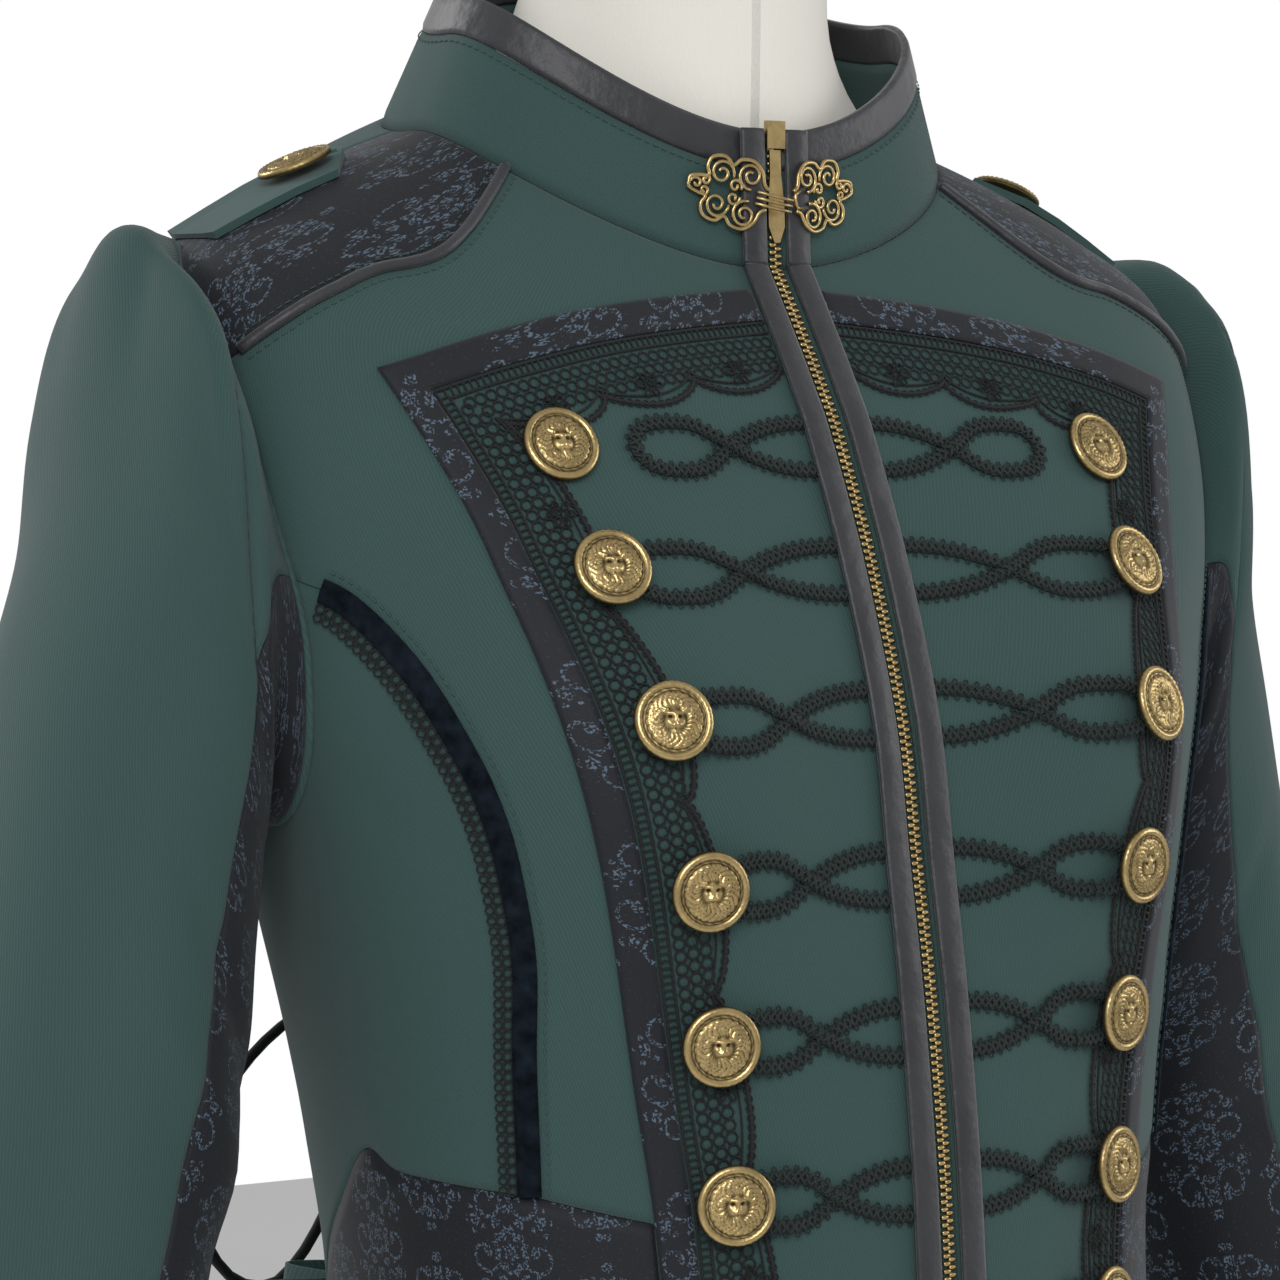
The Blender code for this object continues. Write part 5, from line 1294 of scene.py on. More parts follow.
def prepare():
    """Finishes and seams that the operators share."""
    colours = bpy.context.scene.jacket_colours
    sizes = bpy.context.scene.jacket_sizes
    FINISH["green_twill"] = twill("green_twill", tuple(colours.green), sizes.wale)
    FINISH["brocade"] = damask("brocade", tuple(colours.ground), tuple(colours.figure))
    FINISH["satin"] = satin("satin", tuple(colours.satin))
    FINISH["velvet"] = velvet("velvet", tuple(colours.velvet))
    FINISH["black_lace"] = thread("black_lace", tuple(colours.lace), 0.8)
    FINISH["braid"] = thread("braid", tuple(colours.braid), 0.7)
    FINISH["antique_brass"] = aged_brass("antique_brass", tuple(colours.brass))
    FINISH["linen"] = twill("linen", tuple(colours.linen), 0.0009, 0.00006, 0.02, 0.05)
    FINISH["stand_metal"] = brushed_steel("stand_metal", tuple(colours.steel))
    FINISH["seams"] = Seams(SEAM_PARTS)


def panel_grain(coords, spots):
    """Grain of a body panel: round the body and down it."""
    return np.stack([coords[:, 0] * 150, -spots[:, 2]], -1)


def sleeve_grain(coords, spots):
    """Grain of a sleeve: round it and down it."""
    return np.stack([coords[:, 0] * 52, -coords[:, 1] * 62], -1)


def both_panels(name, grids, slot):
    """A panel for the wearer's left and right, each with its own folds."""
    thick = bpy.context.scene.jacket_sizes.cloth / MM
    for label, side in SIDES:
        node = f"{name}_{label}"
        piece, cut = cloth_piece(f"cloth_{node}", grids, dressed(side), FINISH[slot], side, thick,
                                 grain=panel_grain)
        settle(piece, [node])


def make_body():
    """Front, side, yoke and hip panels, left and right."""
    seams = FINISH["seams"]
    both_panels("front", front_grids(seams, SEAM_PARTS), "green_twill")
    side = patch_between(seams.armhole_side, seams.hip_side, seams.princess, seams.side_back)
    both_panels("side", [side], "green_twill")
    yoke = patch_between(seams.neck_yoke, seams.armhole_yoke, seams.piping, seams.shoulder)
    both_panels("yoke", [yoke], "brocade")
    both_panels("hip", hip_grids(seams), "brocade")


def back_place(phi, v):
    """Back's surface, each half with its own side's folds."""
    phi, v = np.broadcast_arrays(np.asarray(phi, float), np.asarray(v, float))
    on_right = phi > math.pi
    left = dressed(1)(np.where(on_right, 2 * math.pi - phi, phi), v)
    right = dressed(-1)(np.where(on_right, 2 * math.pi - phi, phi), v) * np.array([-1.0, 1, 1])
    return np.where(on_right[..., None], right, left)


def make_back():
    """Back panel and the pleated back skirt."""
    thick = bpy.context.scene.jacket_sizes.cloth / MM
    seams = FINISH["seams"]
    piece, cut = cloth_piece("cloth_back", back_grids(seams), back_place, FINISH["green_twill"],
                             thick=thick, grain=panel_grain)
    settle(piece, ["back"])
    first = math.radians(SIDE_BACK_PHI - PLEAT_LAP)
    angles = np.linspace(first, 2 * math.pi - first, PLEATS * 18 + 1)
    heights = np.linspace(PLEAT_TOP_Z, HEM_Z + 1, 60)
    rows = np.stack([at_height(angles, np.full(len(angles), height)) for height in heights])
    piece, cut = cloth_piece("cloth_back_skirt", [rows], pleated, FINISH["green_twill"], thick=thick,
                             grain=panel_grain)
    settle(piece, ["back_skirt"])


def make_sleeves():
    """Upper and under sleeves, left and right."""
    thick = bpy.context.scene.jacket_sizes.cloth / MM
    rows = np.concatenate([np.linspace(0, 2, 25), np.linspace(2, 9, 66)[1:]])
    panels = (("upper_sleeve", "green_twill", BACK_SEAM_TURN - 360, FRONT_SEAM_TURN, 96),
              ("under_sleeve", "brocade", FRONT_SEAM_TURN, BACK_SEAM_TURN, 60))
    for name, slot, start, end, steps in panels:
        turns = np.radians(np.linspace(start, end, steps + 1))
        grid = np.stack(np.broadcast_arrays(turns[None, :], rows[:, None]), -1).astype(float)
        for label, side in SIDES:
            node = f"{name}_{label}"
            piece, cut = cloth_piece(f"cloth_{node}", [grid], dressed_sleeve(side), FINISH[slot], side,
                                     thick, grain=sleeve_grain)
            settle(piece, [node])


def make_collar():
    """Stand collar and the satin that binds its top edge."""
    start = -BINDING_HEIGHT / COLLAR_HEIGHT
    edge = float(phi_across(FRONT_EDGE, 0.0))
    for node, slot, v_from, v_to, thick, top in (
            ("collar", "green_twill", -1 - start, 0.0, COLLAR_CLOTH, 0.0),
            ("collar_binding", "satin", -1.0, -1 - start, COLLAR_CLOTH + 0.9, 0.5)):
        angles = np.linspace(edge, 2 * math.pi - edge, 181)
        rows = np.linspace(v_from, v_to, 9)
        grid = np.stack(np.broadcast_arrays(angles[None, :], rows[:, None]), -1).astype(float)
        piece, cut = cloth_piece(f"cloth_{node}", [grid], shell, FINISH[slot], thick=thick, top=top,
                                 roll=0.5, grain=panel_grain)
        settle(piece, [node])


def make_form():
    """Limbless dress form under the cloth and its stand."""
    sides = 96
    angles = np.linspace(0, 2 * math.pi, sides, endpoint=False)
    rings = []
    for ring in FORM_NECK:
        rings.append(np.stack(ring_point(np.broadcast_to(ring, (sides, 8)), angles), -1))
    centre = np.array([0, FORM_CENTRE_Y, 0])
    for share, rise in ((0.86, 3.4), (0.6, 5.2), (0.3, 5.9), (0.02, FORM_CAP_RISE)):
        cap = centre + (rings[-len(FORM_NECK)] - centre) * np.array([share, share, 1])
        rings.insert(0, cap + np.array([0, 0, rise]))
    for v, depth in FORM_BODY:
        around = np.full(sides, v)
        rings.append(shell(angles, around) - outward(shell, angles, around) * depth)
    keys = np.stack(rings)
    dense = table_at(keys.reshape(len(keys), -1), np.linspace(0, len(keys) - 1, 90))
    rings = list(dense.reshape(-1, sides, 3))
    base = rings[-1] * FORM_BASE_SHARE
    base[:, 2] = FORM_BASE_Z
    rings.append(base)
    points = np.concatenate(rings)
    faces = [face[::-1] for face in grid_faces(len(rings), sides, wrap=True)]
    faces.append(list(range(sides)))
    faces.append([(len(rings) - 1) * sides + k for k in range(sides)][::-1])
    around = np.broadcast_to(angles * 60, (len(rings), sides)).ravel()
    uv = np.stack([around, points[:, 2]], -1)
    settle(mesh_piece("form_linen", points, faces, FINISH["linen"], uv), ["dress_form"])
    profile = np.array([(0.5, 0), (168, 0), (170, 1.5), (170, 6.5), (168.5, 8), (150, 15.5), (90, 21), (32, 24),
                        (20, 27), (15, 33), (12.5, 42), (12.5, 859)])
    turns = np.linspace(0, 2 * math.pi, 72, endpoint=False)
    rings = [np.stack([np.cos(turns) * r, np.sin(turns) * r, np.full(72, z)], -1) for r, z in profile]
    faces = grid_faces(len(rings), 72, wrap=True)
    faces.append(list(range(72))[::-1])
    faces.append([(len(rings) - 1) * 72 + k for k in range(72)])
    stand = mesh_piece("stand_metalwork", np.concatenate(rings), faces, FINISH["stand_metal"])
    stand.data.set_sharp_from_angle(angle=math.radians(35))
    settle(stand, ["form_stand"])


def cord_route(points):
    """Even points of a cord's route, in metres."""
    return even_line(points, spacing=CORD_SPACING * 0.7) * MM


def cord_piece(name, node, route):
    """Cord as a curve of one open spline, declared with its real length."""
    curve = bpy.data.curves.new(name, "CURVE")
    curve.dimensions = "3D"
    curve.bevel_depth = CORD_RADIUS * MM
    curve.bevel_resolution = 3
    curve.use_fill_caps = True
    spline = curve.splines.new("POLY")
    spline.points.add(len(route) - 1)
    for point, spot in zip(spline.points, route):
        point.co = (*spot, 1.0)
    curve.materials.append(FINISH["black_lace"])
    piece = bpy.data.objects.new(name, curve)
    bpy.context.scene.collection.objects.link(piece)
    settle(piece, [node])
    return piece


def make_cords():
    """Lacing down the centre back, its knot and the bow's cords."""
    turns = np.linspace(0, LACING_RUNS, LACING_RUNS * 12 + 1)
    sway = np.tanh(1.5 * np.cos(math.pi * turns)) / math.tanh(1.5)
    heights = LACING_TOP_Z - LACING_PITCH * turns
    for name, sign, hump in (("lacing_under", 1, 0.0), ("lacing_over", -1, 2 * CORD_RADIUS + CORD_GAP)):
        spots = at_height(math.pi - phi_back(sign * sway * LACING_HALF, heights), heights)
        rise = CORD_RADIUS + 0.9 + hump * (0.35 + 0.65 * np.sin(math.pi * turns)**2)
        out = outward(back_place, spots[:, 0], spots[:, 1])
        route = (back_place(spots[:, 0], spots[:, 1]) + out * rise[:, None]) * MM
        cord_piece(f"cord_{name}", name, route)
    right = cord_route(BOW_ROUTE)[::-1]
    cord_piece("cord_bow_right", "bow_cord_right", right)
    cord_piece("cord_bow_left", "bow_cord_left", right * np.array([-1.0, 1, 1]))


def metal_nodes():
    """CAD nodes that keep their shape take the scene's finishes."""
    for name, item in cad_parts.items():
        if item.hide_render:
            continue
        for slot in ("antique_brass", "black_lace", "braid", "satin", "velvet", "brocade", "green_twill"):
            if item.data.materials and slot in item.data.materials[0].name:
                item.data.materials[0] = FINISH[slot]
                if slot == "antique_brass" and "relief" not in item.data.attributes:
                    worn = item.data.attributes.new("relief", "FLOAT", "POINT")
                    worn.data.foreach_set("value", np.full(len(item.data.vertices), 0.8))
                break


# Trims: heights over the shell and sizes, in mm
TRIM_BASE = 0.4
TRIM_TOP = 1.7
BRAID_WIDTH = 4.6
BRAID_BASE = 0.5
BRAID_OVER_LACE = 1.7
BUTTON_RADIUS = 12.5
BUTTON_RINGS = 31
BUTTON_TURNS = 72


def front_coords(flat):
    """Surface coordinates of points of the plastron given as x and z."""
    return np.asarray(on_front(flat[..., 0].ravel(), flat[..., 1].ravel())).reshape(*flat.shape[:-1], 2)


def laid_line(place, coords, rise=0.0, offset=0.0):
    """Line over a surface, lifted and moved sideways; gives points, normals and directions."""
    spots, normals, along = surface_lines(place, np.asarray(coords, float))
    across = np.cross(normals, along)
    rise = np.broadcast_to(rise, len(spots))[:, None]
    return spots + normals * rise + across * offset, normals, along


def stamped(name, stamp, lines, slot, side, pitch, sizes=None):
    """Stamps at an even pitch along several laid lines of one side."""
    spots, facing, along = [], [], []
    for line_spots, normals, directions in lines:
        length = np.concatenate([[0], np.cumsum(np.linalg.norm(np.diff(line_spots, axis=0), axis=1))])
        count = max(int(length[-1] / pitch), 1)
        marks = (np.arange(count) + 0.5) * length[-1] / count
        for store, values in ((spots, line_spots), (facing, normals), (along, directions)):
            store.append(np.stack([np.interp(marks, length, values[:, k]) for k in range(3)], -1))
    flip = np.array([side, 1.0, 1.0])
    return repeated(name, stamp, np.concatenate(spots) * flip, np.concatenate(facing) * flip,
                    np.concatenate(along) * flip, FINISH[slot], sizes)


def strand_stamp(lean, length=5.2, radius=0.62, lift=0.75):
    """Curved strand that crosses a braid, leaning one way."""
    reach = np.linspace(-1, 1, 5)
    points = np.stack([reach * length * 0.34 + 0.5 * reach**2, lean * reach * BRAID_WIDTH * 0.47,
                       0.55 + lift * (1 - reach**2)], -1)
    return tube(points, radius * np.array([0.6, 1.0, 1.05, 1.0, 0.6]), 4)


def bar_stamp(length, width, height):
    """Small rounded bar along X."""
    reach = np.array([-1, -0.8, 0, 0.8, 1.0])
    points = np.stack([reach * length / 2, reach * 0, np.full(5, height / 2)], -1)
    return tube(points, width / 2 * np.array([0.45, 0.9, 1, 0.9, 0.45]), 6)


def frog_route(row):
    """Centre line of one frog as x and z, with the rise of its second crossing."""
    end_x, z = BUTTON_ROWS[row]
    end_x = FIRST_LOOP_END if row == 0 else end_x - 1.0
    cross_x = STRIP_EDGE + (end_x - STRIP_EDGE) * CROSSING_SHARE
    start_x = STRIP_EDGE - 1.0
    share = np.array([0.0, 0.25, 0.5, 0.75])
    run = np.stack([start_x + (cross_x - start_x) * share, FROG_HALF_HEIGHT * (1 - share**2.2)], -1)
    loop = np.array([(0.0, 0.0), (0.3, -0.85), (0.58, -1.0), (0.84, -0.78), (0.955, 0.0),
                     (0.84, 0.78), (0.58, 1.0), (0.3, 0.85), (0.0, 0.0)])
    loop = loop * np.array([end_x - cross_x, FROG_HALF_HEIGHT]) + np.array([cross_x, 0])
    flat = np.concatenate([run, loop, run[::-1] * np.array([1, -1])]) + np.array([0, z])
    flat = even_line(flat, spacing=1.1)
    second = np.arange(len(flat)) > len(flat) / 2
    near = np.linalg.norm(flat - np.array([cross_x, z]), axis=1)
    reach = lace_reach(np.minimum(flat[:, 1], 1296.0))
    over = np.clip((flat[:, 0] - (reach - 14)) / 5, 0, 1) * (flat[:, 1] < 1290)
    rise = BRAID_BASE + over * BRAID_OVER_LACE + second * 1.5 * np.exp(-(near / 4.5)**2)
    return flat, rise


def make_frogs():
    """Frogs of plaited braid with small picots, left and right."""
    pitch = bpy.context.scene.jacket_sizes.strand_pitch / MM
    for label, side in SIDES:
        place = dressed(side)
        ribbons, lines, picots = [], [], []
        for row in range(len(BUTTON_ROWS)):
            flat, rise = frog_route(row)
            spots, normals, along = laid_line(place, front_coords(flat), rise)
            ribbons.append(swept(spots, normals, ribbon_section(BRAID_WIDTH * 0.8, 0.3, 0.6), side))
            lines.append((spots, normals, along))
            across = np.cross(normals, along)
            for sign in (-1, 1):
                picots.append((spots + across * sign * BRAID_WIDTH * 0.56 + normals * 0.2, normals, along))
        points, faces, uv, relief = joined(ribbons)
        core = mesh_piece(f"frog_core_{label}", points, faces, FINISH["braid"], uv, relief)
        parts = [core]
        for lean in (-1, 1):
            parts.append(stamped(f"strands_{lean}_{label}", strand_stamp(lean), lines, "braid", side, pitch))
        parts.append(stamped(f"picots_{label}", ring_stamp(1.05, 0.5, 8, 4), picots, "braid", side, 3.9))
        settle(merged(f"plaited_frogs_{label}", parts), [f"frogs_{label}"])


def button_rise(r, turn):
    """Height of the button's face: a lion's head in a ring of mane, inside two roped rings."""
    x, y = r * np.sin(turn), r * np.cos(turn)

    def bump_at(cx, cy, wide, high, rise):
        return rise * np.exp(-((np.abs(x) - cx) / wide)**2 - ((y - cy) / high)**2)

    ease = np.clip((r - 3.4) / 1.4, 0, 1) * np.clip((9.1 - r) / 0.5, 0, 1)
    curl = turn * 13 + 2.2 * np.sin(0.85 * r) + 0.6 * np.sin(turn * 5)
    mane = ease * (0.75 * np.abs(np.sin(curl)) + 0.35 * np.abs(np.sin(curl * 2 + r)))
    face = (bump_at(0, 0.4, 1.0, 2.6, 1.3) + bump_at(0.9, -1.9, 1.2, 1.1, 1.1)
            + bump_at(2.1, -0.5, 1.1, 1.5, 0.7) + bump_at(1.5, 2.0, 1.2, 0.7, 0.9)
            + bump_at(3.1, 3.2, 0.8, 0.9, 0.9) + bump_at(0, -3.6, 1.1, 0.7, 0.6)
            - bump_at(1.5, 1.0, 0.5, 0.42, 0.8) - bump_at(0, -2.7, 1.7, 0.26, 0.7))
    rope = np.sqrt(np.clip(1 - ((r - 11.3) / 1.2)**2, 0, 1)) * (1.0 + 0.28 * np.sin(34 * turn + 3.2 * (r - 11.3)))
    inner = 0.55 * np.exp(-((r - 9.55) / 0.34)**2) * (1 + 0.4 * np.sin(52 * turn + 4 * (r - 9.55)))
    dome = 1.5 * (1 - (r / BUTTON_RADIUS)**2)
    rim = np.clip((12.5 - r) / 0.12, 0, 1)
    detail = mane + face * np.clip((5.2 - r) / 1.2, 0, 1) + rope + inner
    return (2.4 + dome + detail) * rim + 1.9 * (1 - rim), np.clip(detail / 1.15, 0, 1)


def button_mesh(origin, out, side):
    """Relief button on its shank."""
    up = np.array([0, 0, 1.0]) - out * out[2]
    up /= np.linalg.norm(up)
    across = np.cross(up, out)
    radii = np.concatenate([np.linspace(0.25, 12.35, BUTTON_RINGS), [12.5]])
    turns = np.linspace(0, 2 * math.pi, BUTTON_TURNS, endpoint=False)
    r, turn = np.meshgrid(radii, turns, indexing="ij")
    rise, relief = button_rise(r, turn)
    under = [(12.5, 1.6), (11.6, 1.2), (3.2, 1.0), (3.2, 0.0)]
    r = np.concatenate([r, [np.full(BUTTON_TURNS, radius) for radius, _ in under]])
    rise = np.concatenate([rise, [np.full(BUTTON_TURNS, height) for _, height in under]])
    relief = np.concatenate([relief, np.full((len(under), BUTTON_TURNS), 0.4)])
    turn = np.broadcast_to(turns, r.shape)
    points = (origin + (r * np.sin(turn))[..., None] * across + (r * np.cos(turn))[..., None] * up
              + rise[..., None] * out).reshape(-1, 3)
    faces = grid_faces(len(r), BUTTON_TURNS, wrap=True)
    faces.append(list(range(BUTTON_TURNS))[::-1])
    faces.append([(len(r) - 1) * BUTTON_TURNS + k for k in range(BUTTON_TURNS)])
    return points * np.array([side, 1.0, 1.0]), faces, None, relief.ravel()


def facing_out(piece):
    """Turn all faces of a closed piece outward."""
    shape = bmesh.new()
    shape.from_mesh(piece.data)
    bmesh.ops.recalc_face_normals(shape, faces=shape.faces)
    shape.to_mesh(piece.data)
    shape.free()
    return piece


def make_buttons():
    """Seven pairs of relief buttons on the plastron and one on each shoulder strap."""
    strap_phi = math.radians(90 + 3.0 * (EPAULETTE_BUTTON_V - 1))
    for label, side in SIDES:
        places = [(f"button_{label}_{k + 1}", on_front(x, z), FIRST_BUTTON_BASE if k == 0 else BUTTON_BASE)
                  for k, (x, z) in enumerate(BUTTON_ROWS)]
        places.append((f"strap_button_{label}", (strap_phi, EPAULETTE_BUTTON_V), 2.9))
        for node, spot, base in places:
            phi, v = np.array([float(spot[0])]), np.array([float(spot[1])])
            out = outward(shell, phi, v)[0]
            origin = shell(phi, v)[0] + out * base
            points, faces, uv, relief = button_mesh(origin, out, side)
            piece = mesh_piece(f"relief_{node}", points, faces, FINISH["antique_brass"], uv, relief)
            settle(facing_out(piece), [node])


def plastron_line(arm, offset, shares):
    """Surface coordinates along an arm of the plastron's edge, at a distance inside it."""
    return front_coords(even_line(plastron_lines(offset)[arm], shares=shares))


def make_border():
    """Damask border of the plastron, left and right."""
    grids = []
    for arm, steps in ((0, 60), (1, 260)):
        shares = np.linspace(0, 1, steps + 1)
        rows = [plastron_line(arm, BORDER_WIDTH * share, shares) for share in np.linspace(0, 1, 7)]
        grids.append(np.stack(rows, 1))
    for label, side in SIDES:
        piece, _ = cloth_piece(f"cloth_border_{label}", grids, dressed(side), FINISH["brocade"], side,
                               TRIM_TOP - TRIM_BASE, top=TRIM_TOP, grain=panel_grain)
        settle(piece, [f"border_{label}"])


def make_lace():
    """Openwork lace inside the border: a ladder, a net of rings and scallops with a flower each."""
    for label, side in SIDES:
        place = dressed(side)
        cords, rungs, net, picots, petals = [], [], [], [], []
        for arm, scallops in ((0, 3), (1, 12)):
            shares = np.linspace(0, 1, scallops * 40 + 1)
            wave = np.abs(np.sin(math.pi * shares * scallops))**0.6
            reach = LACE_WIDTH * (0.70 + 0.30 * wave)
            first = BORDER_WIDTH + 0.6
            for offset in (0.2, 3.4):
                cords.append((plastron_line(arm, first + offset, shares), 1.0))
            rungs.append(laid_line(place, plastron_line(arm, first + 1.8, shares), 0.75))
            for offset in (6.3, 10.1, 13.9):
                net.append(laid_line(place, plastron_line(arm, first + offset, shares), 0.6))
            lanes = np.stack([plastron_line(arm, first + offset, shares) for offset in range(0, 22, 3)])
            edge = []
            for share in (1.0, 0.86):
                at = np.clip(reach * share / 3, 0, 6.99)
                low = at.astype(int)
                mixing = (at - low)[:, None]
                columns = np.arange(len(shares))
                edge.append(lanes[low, columns] * (1 - mixing) + lanes[low + 1, columns] * mixing)
            cords += [(edge[0], 1.3), (edge[1], 0.8)]
            picots.append(laid_line(place, edge[0], 0.6, 0.0))
            for k in range(scallops):
                middle = lanes[5, k * 40 + 20]
                centre = place(middle[None, 0], middle[None, 1])[0]
                out = outward(place, middle[None, 0], middle[None, 1])[0]
                up = np.array([0, 0, 1.0]) - out * out[2]
                up /= np.linalg.norm(up)
                across = np.cross(up, out)
                for turn in np.linspace(0, 2 * math.pi, 6, endpoint=False):
                    away = across * math.cos(turn) + up * math.sin(turn)
                    petals.append((centre + away * 3.1 + out * 1.0, out, away))
        parts = []
        for coords, width in cords:
            spots, normals, _ = laid_line(place, coords, 0.45)
            parts.append(swept(spots, normals, round_section(width, 0.9, 6), side))
        points, faces, uv, relief = joined(parts)
        pieces = [mesh_piece(f"lace_cords_{label}", points, faces, FINISH["black_lace"], uv, relief)]
        pieces.append(stamped(f"lace_rungs_{label}", turned_bar(3.4, 0.8), rungs, "black_lace", side, 2.3))
        pieces.append(stamped(f"lace_net_{label}", ring_stamp(2.25, 0.75, 8, 4), net, "black_lace", side, 3.9))
        pieces.append(stamped(f"lace_picots_{label}", ring_stamp(1.5, 0.6, 8, 4), picots, "black_lace",
                              side, 2.9))
        spots, facing, away = (np.array(values) * np.array([side, 1.0, 1.0]) for values in zip(*petals))
        pieces.append(repeated(f"lace_petals_{label}", ring_stamp(2.1, 0.9, 8, 4, 0.62), spots, facing, away,
                               FINISH["black_lace"]))
        settle(merged(f"guipure_{label}", pieces), [f"lace_{label}"])


def turned_bar(length, width):
    """Small bar that crosses its line."""
    points, faces, uv, relief = bar_stamp(length, width, 0.7)
    return points[:, [1, 0, 2]] * np.array([1, -1, 1]), faces, uv, relief


def make_seam_trims():
    """Velvet ribbon and narrow lace on the princess seam, and the piping of the yoke."""
    seams = FINISH["seams"]
    for label, side in SIDES:
        place = dressed(side)
        line = resample(seams.princess, 150)[9:]
        spots, normals, _ = laid_line(place, line)
        points, faces, uv, relief = swept(spots, normals, ribbon_section(VELVET_WIDTH, 0.5, 0.9, 0.4), side)
        ribbon = mesh_piece(f"velvet_ribbon_{label}", points, faces, FINISH["velvet"], uv, relief)
        settle(ribbon, [f"princess_trim_{label}"])
        loops = [laid_line(place, line, 0.5, VELVET_WIDTH / 2 + 1.6)]
        tips = [laid_line(place, line, 0.5, VELVET_WIDTH / 2 + 4.6)]
        edging = merged(f"narrow_lace_{label}", [
            stamped(f"edging_loops_{label}", ring_stamp(1.9, 0.8, 8, 4), loops, "black_lace", side, 3.2),
            stamped(f"edging_tips_{label}", ring_stamp(1.7, 0.7, 8, 4), tips, "black_lace", side, 3.2)])
        settle(edging)
        line = resample(seams.piping, 90)[:-6]
        line[:, 1] = np.maximum(line[:, 1], 0.03)
        spots, normals, _ = laid_line(place, line)
        points, faces, uv, relief = swept(spots, normals, round_section(3.8, 3.2, 12, -0.4), side)
        piping = mesh_piece(f"satin_piping_{label}", points, faces, FINISH["satin"], uv, relief)
        settle(piping, [f"piping_{label}"])


def front_run(x, end_z, steps):
    """Surface coordinates down the centre front at the distance x, from the collar's top."""
    last = float(on_front(0.0, end_z)[1])
    rows = np.concatenate([np.linspace(-1, 0, 24), np.linspace(0, last, steps)[1:]])
    return np.stack([[float(phi_across(x, v)) for v in rows], rows], -1)


def make_zip():
    """Brass teeth on a green tape and the satin strips beside them."""
    pitch = bpy.context.scene.jacket_sizes.tooth_pitch / MM
    tooth = bar_stamp(2.9, 1.7, 1.5)
    centre = front_run(0.0, ZIP_END_Z, 170)
    lines = []
    for sign in (-1, 1):
        spots, normals, along = laid_line(shell, centre, 0.25, sign * 1.05)
        shift = 0 if sign < 0 else pitch / 2
        across = np.cross(normals, along) * sign
        lines.append((spots + along * shift, normals, across))
    teeth = []
    for number, (spots, normals, across) in enumerate(lines):
        teeth.append(stamped(f"teeth_{number}", tooth, [(spots, normals, across)], "antique_brass", 1, pitch))
    settle(merged("zip_teeth", teeth), ["zip_chain"])
    spots, normals, _ = laid_line(shell, centre, -1.2)
    points, faces, uv, relief = swept(spots, normals, ribbon_section(7.3, 0.2, 1.1))
    settle(mesh_piece("zip_tape", points, faces, FINISH["green_twill"], uv, relief))
    for label, side in SIDES:
        line = front_run((FRONT_EDGE + STRIP_EDGE) / 2, HEM_Z + 1, 300)
        spots, normals, _ = laid_line(shell, line)
        section = ribbon_section(STRIP_EDGE - FRONT_EDGE, 0.75, 1.0, 1.75, 8)
        points, faces, uv, relief = swept(spots, normals, section, side)
        piece = mesh_piece(f"satin_strip_{label}", points, faces, FINISH["satin"], uv, relief)
        settle(piece, [f"zip_strip_{label}"])


def make_stitches():
    """Topstitches along the collar's binding, the princess seam and the yoke's piping."""
    seams = FINISH["seams"]
    pitch = bpy.context.scene.jacket_sizes.stitch_pitch / MM
    edge = float(phi_across(STRIP_EDGE + 3, 0.0))
    collar = np.stack([np.linspace(edge, math.pi, 160), np.full(160, -0.66)], -1)
    for label, side in SIDES:
        place = dressed(side)
        piping = resample(seams.piping, 90)[2:-6]
        piping[:, 1] = np.maximum(piping[:, 1], 0.03)
        lines = [laid_line(shell, collar, 0.05),
                 laid_line(place, resample(seams.princess, 150)[9:], 0.05, -VELVET_WIDTH / 2 - 2.4),
                 laid_line(place, piping, 0.05, 4.2), laid_line(place, piping, 0.05, -4.2)]
        piece = stamped(f"topstitches_{label}", bar_stamp(pitch * 0.66, 0.55, 0.4), lines, "green_twill", side,
                        pitch)
        settle(piece)


def spiral(centre, radius, start, turns, steps=26):
    """Flat spiral that winds in to its centre."""
    share = np.linspace(0, 1, steps)
    angle = math.radians(start) + share * turns * 2 * math.pi
    reach = radius * (1 - 0.78 * share)
    return np.stack([centre[0] + reach * np.cos(angle), centre[1] + reach * np.sin(angle)], -1)


# Clasp scrolls: centre along and up, radius, start in degrees and turns
CLASP_SCROLLS = (
    ((12.2, 6.4), 4.6, -100, 1.6), ((12.2, -6.4), 4.6, 100, -1.6), ((22.4, 5.2), 4.4, 190, -1.5),
    ((22.4, -5.2), 4.4, 170, 1.5), ((17.0, 2.0), 2.4, 200, -1.2), ((17.0, -2.0), 2.4, 160, 1.2),
    ((27.6, 1.7), 1.7, 90, 1.1), ((27.6, -1.7), 1.7, -90, -1.1),
)
CLASP_OUTLINE = np.array([
    (4.9, 3.2), (7.0, 4.6), (8.5, 8.4), (12.0, 11.2), (16.5, 10.8), (19.0, 8.4), (22.0, 10.6),
    (26.5, 9.6), (27.8, 6.2), (26.6, 3.4), (29.5, 2.9), (33.0, 1.8), (33.2, 0.0),
])


